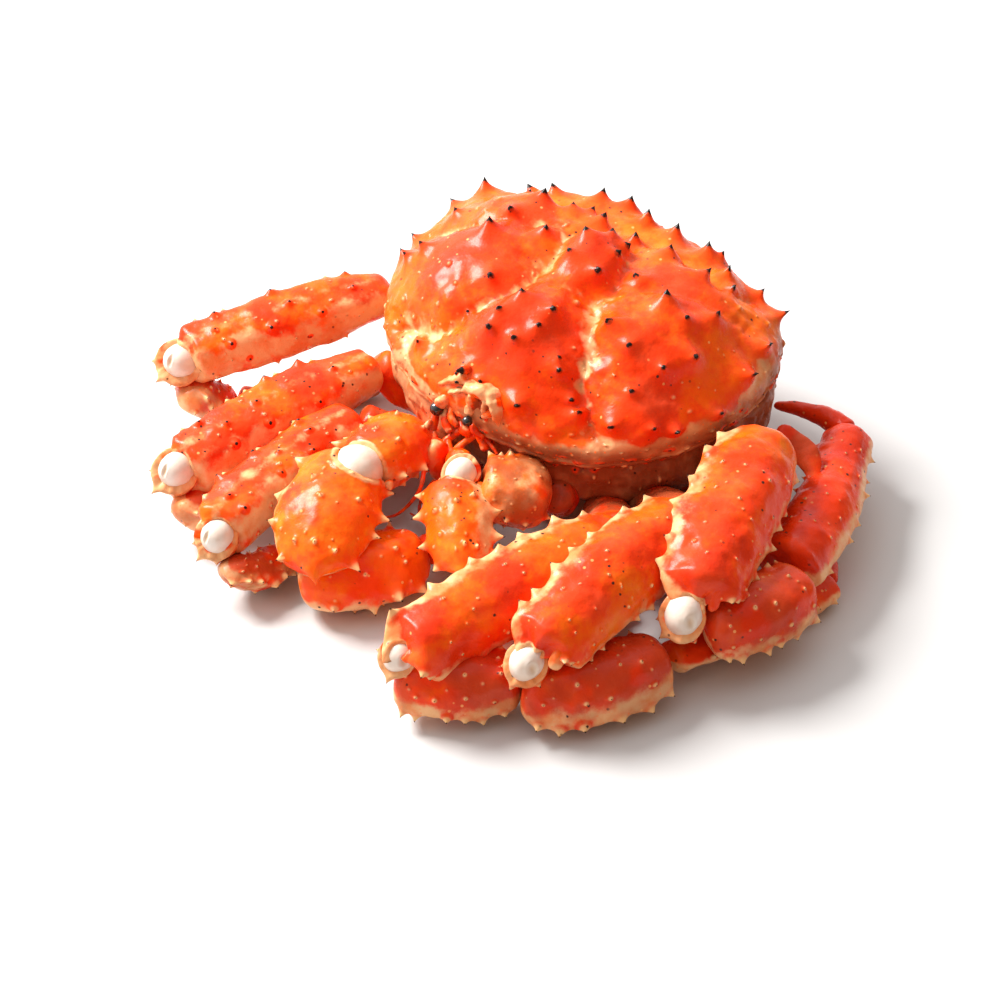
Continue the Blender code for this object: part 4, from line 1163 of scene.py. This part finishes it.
def limbs():
    """All the shell segments of the legs and claws, and the abdomen."""
    for number, (limb, segments) in enumerate(LIMBS.items()):
        for order, (kind, shape) in enumerate(segments.items()):
            segment(f"{limb}_{kind}", shape, look_of(limb, kind) | {"seed": 10 * number + order})
    segment("leg_l3_fold", FOLD, {"taper": "finger"} | FOLD_LOOK, [])
    segment("abdomen", ABDOMEN, {"taper": "flap"} | ABDOMEN_LOOK)


# ---- joints
BALL_POINTS, EYE_POINTS, HOUSING_POINTS, MOUND_POINTS = 4000, 900, 7000, 9000
BALL_SIZE = 1.04  # of the CAD's egg
SLIT_WIDTH, SLIT_HEIGHT, SLIT_DEPTH = 0.25, 0.44, 0.13  # of a slit's half sizes, and of the ball's radius
LIP_AT, LIP_WIDTH, LIP_RISE = 0.5, 0.15, 0.03  # the raised edge round a slit, in the same measures
HOUSING_INSIDE, HOUSING_GROWTH = 0.82, 0.22  # of the egg's radii: how big inside, and how much more outside
SHUT_OPENING = (0.4, -0.65, 0.65)  # the way that a joint with no housing faces
SLITS = {  # in a joint's ball: how far left and down of the way it faces, half width, half height
    "leg_r": (0.62, 0.1, (0.55, 0.8)),
    "leg_l": (-0.55, 0.45, (0.9, 0.8)),
    "claw_": (-0.2, 0.9, (0.6, 0.6)),
}


def hinges():
    """The cream hinge knobs beside the open joints."""
    for limb, (start, end, half) in HINGES.items():
        middle = tuple((a + b) / 2 for a, b in zip(start, end))
        shape = (start, middle, end, (half, half * 0.8), (0.6, -0.5, 0.35))
        look = HINGE_LOOK | {"taper": "even", "start_cap": half, "end_cap": half * 1.4}
        segment(f"{limb}_hinge_0", shape, look, [])


def ball(name, middle, radii, slot, count, slit=None, basis=np.eye(3)):
    """An egg along the rows of basis. A slit in it is the way it faces and its half sizes."""
    points, faces = sphere(count)
    swell = 1 + 0.015 * noise(points, 0.5, 3)
    masks = {}
    if slit is not None:
        world = points @ basis
        way, (half_width, half_height) = unit(slit[0]), slit[1]
        across = unit(np.cross(way, (0.0, 0.0, 1.0)))
        x, y = world @ across / half_width, world @ np.cross(across, way) / half_height
        this_side = world @ way > 0
        bent = x + 0.3 * y * y
        cut = np.exp(-((bent / SLIT_WIDTH) ** 2) - ((y / SLIT_HEIGHT) ** 2)) * this_side
        lip = hump(np.hypot(x * 1.5, y) - LIP_AT, LIP_WIDTH) * this_side
        swell += -SLIT_DEPTH * cut + LIP_RISE * lip
        # the slit is painted tan, partly the flesh there and partly painted shade in its recess
        masks["brown_and_shade"] = 0.8 * cut
    places = (points * swell[:, None] * radii) @ basis + middle
    faces = outward_faces(places, faces, np.array(middle, float))
    make_piece(f"{name}_skin", places, faces, masks, slot, [name])


def facing(opening):
    """The opening's direction, and the directions left and down across it."""
    way = unit(np.array(opening, float))
    left = unit(LEFTWARDS - way * (LEFTWARDS @ way))
    return way, left, np.cross(way, left)


def raise_housing_teeth(places, world, directions, masks, seed):
    """Teeth round the opening of a housing."""
    way, left, down = directions
    rng = np.random.default_rng(seed)
    for degrees, about, radius, height in HOUSING_TEETH:
        a, b = math.radians(degrees + rng.uniform(-6, 6)), math.radians(about + rng.uniform(-16, 16))
        across = left * math.cos(b) + down * math.sin(b)
        foot = np.argmax(world @ (way * math.cos(a) + across * math.sin(a)))
        share = np.linalg.norm(places - places[foot], axis=1) / radius
        near = np.nonzero(share < 1)[0]
        rise, marks = bump_profile("tooth", share[near])
        places[near] += world[foot] * (height * rise)[:, None]
        mark(masks, near, {"dark": marks["dark"], "pale": marks["pale"]})


def housing(joint, opening, half_angle, thick, seed):
    """The shell that holds a joint: a thick skin round its egg with a wide opening in it."""
    middle, radii, basis = joint_frame(joint)
    points, faces = sphere(HOUSING_POINTS)
    world = points @ basis
    way, left, down = facing(opening)
    toward = np.arctan2(world @ down, world @ left)
    shares = [np.clip(np.cos(toward - a), 0, 1) ** 1.5 for a in (0, math.pi / 2, math.pi, -math.pi / 2)]
    thickness = sum(share * t for share, t in zip(shares, thick)) / np.maximum(sum(shares), 1e-6)
    limit = math.radians(half_angle)
    wavy = 0.09 * noise(world, 0.5, seed) + 0.05 * noise(world, 0.22, seed + 1)
    turned = np.arccos(np.clip(world @ way, -1, 1)) + wavy
    outside = step(limit - 0.12, limit + 0.10, turned)
    reach = radii * HOUSING_INSIDE + outside[:, None] * (HOUSING_GROWTH * radii + thickness[:, None])
    places = points * (reach + 0.45 * hump(turned - limit - 0.10, 0.11)[:, None]) @ basis + middle
    places += world * (rough(places, 9, seed) * 0.5 * outside)[:, None]
    masks = {mask: np.zeros(len(points)) for mask in ("dark", "pale")}
    raise_housing_teeth(places, world, (way, left, down), masks, seed)
    lip = hump(turned - limit - 0.06, 0.15)
    masks["cream"] = 1.1 * lip + 0.55 * shares[1] - 0.1 + 0.7 * rough(places, 7, seed)
    # painted shade: browner just inside the opening, round the ball
    inner_shade = 0.7 * step(limit - 0.06, limit - 0.16, turned)
    masks["brown_and_shade"] = np.clip(inner_shade + 0.3 * step(0.3, 0.9, rough(places, 5, seed + 5)), 0, 0.7)
    masks["blush"] = 0.5 + 0.5 * rough(places, 9, seed + 6)
    faces = outward_faces(places, faces, middle)
    make_piece(f"{joint}_housing", places, faces, masks, "shell")


def joints():
    """The white balls at the knees and wrists, and the shell round those that stand open."""
    for number, joint in enumerate(JOINTS):
        middle, radii, basis = joint_frame(joint)
        way, left, down = facing(HOUSINGS[joint][0] if joint in HOUSINGS else SHUT_OPENING)
        to_left, to_down, half_sizes = SLITS[joint[:5]]
        slit = (way + to_left * left + to_down * down, half_sizes)
        ball(joint, middle, radii * BALL_SIZE, "membrane", BALL_POINTS, slit, basis)
        if joint in HOUSINGS:
            housing(joint, *HOUSINGS[joint], 60 + number)


# ---- the face
ROD_SIDES = 12
ROD_STEP = 0.7  # between its rings, near enough


def rod_faces(count, sides):
    """Triangles of this many rings of points, closed by two end points that come after them."""
    faces = []
    for i in range(count - 1):
        for j in range(sides):
            p, q = i * sides + j, i * sides + (j + 1) % sides
            faces += [(p, q, p + sides), (q, q + sides, p + sides)]
    first = count * sides
    for j in range(sides):
        following = (j + 1) % sides
        faces += [(first, following, j), (first + 1, first - sides + j, first - sides + following)]
    return np.array(faces)


def rod(name, line, radii, cream, blush, dark_from, nodes=()):
    """A round rod along the line, its ends rounded, dark from this share of its length on."""
    length = np.linalg.norm(np.diff(np.array(line, float), axis=0), axis=1).sum()
    ends = 0.5 - 0.5 * np.cos(np.linspace(0, math.pi, int(length / ROD_STEP) + 12))
    t = 0.004 + 0.992 * ends
    middle = along_table(line, t)
    forward = unit(np.gradient(middle, axis=0))
    side = unit(np.cross(forward, (0.3, 0.2, 1.0)))
    a = TURN * np.arange(ROD_SIDES) / ROD_SIDES
    size = np.interp(t, np.linspace(0, 1, len(radii)), radii)
    size = size * cap(t * length, radii[0]) * cap((1 - t) * length, radii[-1])
    size = size * (1 + 0.14 * noise(middle, 2.6, 5))
    ring = side[:, None] * np.cos(a)[:, None] + np.cross(side, forward)[:, None] * np.sin(a)[:, None]
    rings = middle[:, None] + size[:, None, None] * ring
    places = np.concatenate([rings.reshape(-1, 3), middle[:1], middle[-1:]])
    faces = outward_faces(places, rod_faces(len(t), ROD_SIDES), middle.mean(axis=0))
    share = np.concatenate([np.repeat(t, ROD_SIDES), [0, 1]])
    # painted shade: browner at both ends, where each rod meets what it stands on
    ends_shade = 0.4 * step(0.08, 0.0, share) + 0.4 * step(0.92, 1.0, share)
    masks = {
        "blush": blush + 0.4 * rough(places, 3.5, 7),
        "cream": cream + 0.5 * rough(places, 5.0, 8),
        "brown_and_shade": 0.6 * step(0.2, 0.7, rough(places, 2.6, 9)) + ends_shade,
        "dark": step(dark_from - 0.04, dark_from + 0.04, share),
    }
    make_piece(f"{name}_skin", places, faces, masks, "shell", nodes)


def line_heights(seen, table):
    """Height or depth of this table's lines at points of the face as seen from in front."""
    height = np.zeros(len(seen))
    for rise, width, line in table:
        height = np.maximum(height, rise * hump(distance_to_line(seen, line), width))
    return height


def mound():
    """The lumpy, ridged front that carries the eyes."""
    points, faces = sphere(MOUND_POINTS)
    radii = np.array(MOUND_RADII)
    places = (points * radii) @ MOUND_TURN + MOUND_MIDDLE
    outward = unit(points / radii) @ MOUND_TURN
    wander = np.stack([rough(places, 7, 96), rough(places, 7, 97)], -1) * 0.8
    seen = places[:, [0, 2]] + wander
    ridge, gully = line_heights(seen, FACE_RIDGES), line_heights(seen, FACE_GULLIES)
    places = places + outward * (lumps(places, MOUND_LUMPS) + ridge - gully)[:, None]
    # brown patches in the low ground off the ridges, partly painted shade
    low_brown_and_shade = 0.8 * step(0.15, 0.5, rough(places, 5, 94)) * step(1.5, 0.3, ridge)
    # the gullies are painted brown, and dark in the deepest, as shade in the creases
    masks = {
        "cream": 0.30 + 0.34 * ridge + 0.8 * rough(places, 6, 93),
        "brown_and_shade": np.clip(0.5 * gully + low_brown_and_shade, 0, 0.9),
        "blush": 0.3 + 0.6 * rough(places, 9, 95),
        "dark": 0.8 * step(1.2, 2.0, gully) * step(0.1, 0.5, rough(places, 4, 98)),
    }
    make_piece("face_mound", places, outward_faces(places, faces, places.mean(axis=0)), masks, "shell")


def face():
    """Eyes, mouthparts, the mound behind them, antennae and feelers."""
    for name, (middle, radius) in EYES.items():
        ball(name, middle, (radius,) * 3, "eye", EYE_POINTS)
    for name, (x, y, z) in MOUTHPARTS.items():
        shape = ((x, y + 3, z + 12), (x, y, z), (x + 1, y + 4, z - 12), MOUTHPART_HALF, (0.2, -1, 0))
        segment(name, shape, {"taper": "flap"} | MOUTHPART_LOOK)
    mound()
    for name, line in ANTENNAE.items():
        rod(name, line, ANTENNA_RADII, 0.0, 0.5, 2, [name])
    for name, line, radii, cream, blush, dark_from in FACE:
        rod(f"face_{name}", line, radii, cream, blush, dark_from)


# ---- materials
class Nodes:
    """Short ways to add the nodes of one material."""

    def __init__(self, name):
        self.material = bpy.data.materials.new(name)
        self.material.use_nodes = True
        self.tree = self.material.node_tree
        self.shader = self.tree.nodes["Principled BSDF"]
        self.coordinates = self.tree.nodes.new("ShaderNodeTexCoord").outputs["Object"]

    def link(self, value, socket):
        """Gives a socket this value, which is a number, a colour or another node's output."""
        if isinstance(value, bpy.types.NodeSocket):
            self.tree.links.new(value, socket)
        else:
            socket.default_value = value

    def node(self, kind, outcome, **values):
        """A node with these inputs; returns one of its outputs."""
        made = self.tree.nodes.new(f"ShaderNode{kind}")
        for key, value in values.items():
            self.link(value, made.inputs[key])
        return made.outputs[outcome]

    def mask(self, name):
        made = self.tree.nodes.new("ShaderNodeAttribute")
        made.attribute_name = name
        return made.outputs["Fac"]

    def math(self, operation, a, b):
        made = self.tree.nodes.new("ShaderNodeMath")
        made.operation = operation
        self.link(a, made.inputs[0])
        self.link(b, made.inputs[1])
        return made.outputs[0]

    def add(self, a, b):
        return self.math("ADD", a, b)

    def times(self, a, b):
        return self.math("MULTIPLY", a, b)

    def ramp(self, value, low, high, to_low=0.0, to_high=1.0):
        """The value from low to high made to go smoothly from to_low to to_high."""
        made = self.tree.nodes.new("ShaderNodeMapRange")
        made.interpolation_type = "SMOOTHSTEP"
        for number, socket in zip((value, low, high, to_low, to_high), made.inputs):
            self.link(number, socket)
        return made.outputs[0]

    def noise(self, scale, detail=3.0, roughness=0.55):
        return self.node(
            "TexNoise", "Fac", Vector=self.coordinates, Scale=scale, Detail=detail, Roughness=roughness
        )

    def ragged(self, scale, amount):
        """Fine noise about zero."""
        return self.times(self.add(self.noise(scale, 3), -0.5), amount)

    def cells(self, scale):
        """Distance from the middle of the nearest cell."""
        return self.node("TexVoronoi", "Distance", Vector=self.coordinates, Scale=scale)

    def mix(self, factor, a, b):
        made = self.tree.nodes.new("ShaderNodeMix")
        made.data_type = "RGBA"
        self.link(factor, made.inputs["Factor"])
        for value, socket in ((a, made.inputs[6]), (b, made.inputs[7])):
            self.link((*value, 1.0) if isinstance(value, tuple) else value, socket)
        return made.outputs[2]

    def bump(self, height, distance, strength, normal=None):
        values = {"Height": height, "Distance": distance, "Strength": strength}
        if normal is not None:
            values["Normal"] = normal
        return self.node("Bump", 0, **values)

    def finish(self, colour, roughness, normal, **fixed):
        """Gives the shader its colour, roughness and bump, and its fixed numbers."""
        self.link(colour, self.shader.inputs["Base Color"])
        self.link(roughness, self.shader.inputs["Roughness"])
        if normal is not None:
            self.link(normal, self.shader.inputs["Normal"])
        for key, value in fixed.items():
            self.shader.inputs[key.replace("_", " ")].default_value = value
        return self.material


AMBER = (0.90, 0.185, 0.010)
ORANGE = (0.90, 0.110, 0.003)
RED = (0.86, 0.045, 0.003)
CRIMSON = (0.40, 0.009, 0.004)
PINK = (0.84, 0.10, 0.030)
CREAM = (0.82, 0.43, 0.20)
ORANGE_CREAM = (0.78, 0.23, 0.07)
PALE = (0.80, 0.46, 0.20)
PALE_DOT = (0.90, 0.40, 0.13)
BROWN = (0.17, 0.032, 0.008)
RED_BROWN = (0.42, 0.11, 0.04)
SPECK = (0.06, 0.02, 0.012)
BLACK = (0.012, 0.007, 0.005)
WHITE_FLESH, DULL_FLESH, TAN_FLESH = (0.78, 0.71, 0.64), (0.74, 0.58, 0.46), (0.60, 0.36, 0.18)
EYE_BLACK = (0.012, 0.010, 0.010, 1.0)
FLOOR_GREY = (0.58, 0.58, 0.58, 1.0)


def red_shell(n, patches, fine):
    """Amber to red to crimson by patches and blush, with pink patches that are partly a painted sheen."""
    warm = n.add(n.times(patches, 0.95), n.times(fine, 0.6))
    red = n.add(n.ramp(warm, 0.50, 1.0), n.times(n.mask("blush"), 1.3))
    colour = n.mix(n.ramp(red, 0.0, 0.7), AMBER, ORANGE)
    colour = n.mix(n.ramp(red, 0.55, 1.5), colour, RED)
    deep = n.ramp(n.add(n.mask("blush"), n.times(fine, 0.4)), 0.75, 1.3)
    colour = n.mix(n.times(deep, 0.45), colour, CRIMSON)
    # pink patches at random, partly real tone and partly a painted sheen
    pink_tone_and_sheen = n.ramp(n.noise(46, 4), 0.47, 0.70)
    return n.mix(n.times(pink_tone_and_sheen, 0.34), colour, PINK)


def cream_shell(n, colour):
    """The same with its cream parts, which are broken up into orange mottling."""
    mottle = n.add(n.times(n.noise(150, 5, 0.65), 0.9), n.times(n.noise(50, 3), 0.6))
    lack = n.math("SUBTRACT", n.mask("cream"), n.mask("flare"))
    cream = n.ramp(n.add(lack, n.add(mottle, -0.75)), 0.30, 0.85)
    tint = n.mix(n.ramp(n.noise(70, 4), 0.42, 0.66), CREAM, ORANGE_CREAM)
    return n.mix(cream, colour, tint)


def dotted_shell(n, colour):
    """The same with orange dots in the cream, pale dots in the red, dark specks, and pale and dark tips."""
    dots = n.times(n.ramp(n.cells(300), 0.22, 0.12), n.mask("edge"))
    colour = n.mix(n.times(dots, 0.7), colour, ORANGE)
    pale_dots = n.times(n.ramp(n.cells(125), 0.125, 0.07), n.ramp(n.noise(35, 2), 0.44, 0.54))
    colour = n.mix(n.times(pale_dots, 0.75), colour, PALE_DOT)
    colour = n.mix(n.times(n.mask("pale"), 0.85), colour, PALE)
    away = n.add(n.cells(150), n.ragged(620, 0.18))
    specks = n.times(n.ramp(away, 0.15, 0.08), n.ramp(n.noise(22, 2), 0.45, 0.54))
    colour = n.mix(specks, colour, SPECK)
    colour = n.mix(n.ramp(n.mask("dark"), 0.02, 0.4, 0.0, 0.55), colour, BROWN)
    return n.mix(n.ramp(n.add(n.mask("dark"), n.ragged(620, 1.5)), 0.42, 0.62), colour, BLACK)


def shell_material():
    """Cooked shell: glossy, mottled, finely pitted."""
    n = Nodes("shell")
    patches, fine = n.noise(30, 3), n.noise(190, 4, 0.6)
    colour = cream_shell(n, red_shell(n, patches, fine))
    # the brown mask holds brown patches and dark seams, and also painted shade: under the carapace's margin,
    # in slits, creases and recesses, and on shaded segments
    colour = n.mix(n.mask("brown_and_shade"), colour, n.mix(patches, BROWN, RED_BROWN))
    colour = n.mix(n.times(n.mask("flare"), 0.6), colour, RED)
    colour = dotted_shell(n, colour)
    bump = n.bump(n.noise(420, 4, 0.6), 0.0006, 0.35)
    bump = n.bump(n.noise(120, 3), 0.0020, 0.32, bump)
    roughness = n.ramp(fine, 0.3, 0.8, 0.24, 0.40)
    return n.finish(colour, roughness, bump, Specular_IOR_Level=0.09, Coat_Weight=0.16, Coat_Roughness=0.23)


def membrane_material():
    """The wet white flesh of the joints."""
    n = Nodes("membrane")
    colour = n.mix(n.ramp(n.noise(60, 4), 0.35, 0.7), WHITE_FLESH, DULL_FLESH)
    # tan in the slits, partly painted shade in their recess
    colour = n.mix(n.mask("brown_and_shade"), colour, TAN_FLESH)
    return n.finish(colour, 0.3, n.bump(n.noise(260, 4), 0.0005, 0.3), Coat_Weight=0.4, Coat_Roughness=0.15)


def eye_material():
    """Glossy black."""
    n = Nodes("eye")
    return n.finish(EYE_BLACK, 0.12, n.bump(n.noise(900, 2), 0.0002, 0.3), Coat_Weight=0.6)


# ---- floor, light and camera, in metres
FLOOR_REACH = 6.0
SKY_BRIGHT_WAY = (-0.86, 0.12, 0.50)
SKY_STRENGTH = (-0.25, 1.0, 0.34, 1.6)  # from and to along that way, and the strengths there
SKY_DIM_TINT, SKY_BRIGHT_TINT = (1.0, 0.56, 0.30, 1.0), (1.0, 1.0, 1.0, 1.0)
KEY_PLACE, KEY_TARGET = (-1.15, -0.19, 1.3), (0.0, 0.0, 0.04)
KEY_SIZE, KEY_POWER, KEY_COLOUR = 0.78, 68, (1.0, 0.985, 0.96)
CAMERA_PLACE, CAMERA_TARGET = (0.6242, -0.8569, 0.8214), (0.0180, -0.0225, 0.03)
CAMERA_LENS, CAMERA_SENSOR = 87.8, 36.0  # mm


def add_object(name, data):
    """A new object in the scene."""
    made = bpy.data.objects.new(name, data)
    bpy.context.scene.collection.objects.link(made)
    return made


def aim(made, place, target):
    """Stands a light or camera at a place, looking at another."""
    made.location = place
    made.rotation_euler = (Vector(target) - Vector(place)).to_track_quat("-Z", "Y").to_euler()


def floor():
    """A plain pale floor."""
    mesh = bpy.data.meshes.new("floor")
    r = FLOOR_REACH
    mesh.from_pydata([(-r, -r, 0), (r, -r, 0), (r, r, 0), (-r, r, 0)], [], [(0, 1, 2, 3)])
    mesh.materials.append(Nodes("floor_white").finish(FLOOR_GREY, 0.9, None))
    add_object("floor", mesh)


def sky():
    """Soft light from all round, warm and dim away from the bright side."""
    world = bpy.data.worlds.new("world")
    bpy.context.scene.world = world
    world.use_nodes = True
    tree = world.node_tree
    toward = tree.nodes.new("ShaderNodeVectorMath")
    toward.operation = "DOT_PRODUCT"
    tree.links.new(tree.nodes.new("ShaderNodeTexCoord").outputs["Generated"], toward.inputs[0])
    toward.inputs[1].default_value = SKY_BRIGHT_WAY
    ramp = tree.nodes.new("ShaderNodeMapRange")
    tree.links.new(toward.outputs["Value"], ramp.inputs[0])
    for number, socket in zip(SKY_STRENGTH, ramp.inputs[1:5]):
        socket.default_value = number
    tree.links.new(ramp.outputs[0], tree.nodes["Background"].inputs["Strength"])
    tint = tree.nodes.new("ShaderNodeMix")
    tint.data_type = "RGBA"
    tree.links.new(ramp.outputs[0], tint.inputs["Factor"])
    tint.inputs[6].default_value = SKY_DIM_TINT
    tint.inputs[7].default_value = SKY_BRIGHT_TINT
    tree.links.new(tint.outputs[2], tree.nodes["Background"].inputs["Color"])


def key_light():
    """One soft round lamp, at the upper left of the picture."""
    light = bpy.data.lights.new("key", "AREA")
    light.shape = "DISK"
    light.size = KEY_SIZE
    light.energy = KEY_POWER
    light.color = KEY_COLOUR
    aim(add_object("key", light), KEY_PLACE, KEY_TARGET)


def camera():
    """The camera at the photograph's angle."""
    lens = bpy.data.cameras.new("camera")
    lens.lens = CAMERA_LENS
    lens.sensor_width = CAMERA_SENSOR
    made = add_object("camera", lens)
    aim(made, CAMERA_PLACE, CAMERA_TARGET)
    bpy.context.scene.camera = made
    bpy.context.scene.view_settings.view_transform = "Standard"


def main():
    """Builds every piece and the stage round them."""
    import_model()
    shell = shell_material()
    MATERIALS.update(shell=shell, shell_pale=shell, membrane=membrane_material(), eye=eye_material())
    carapace()
    underbody()
    limbs()
    joints()
    hinges()
    face()
    floor()
    sky()
    key_light()
    camera()


main()
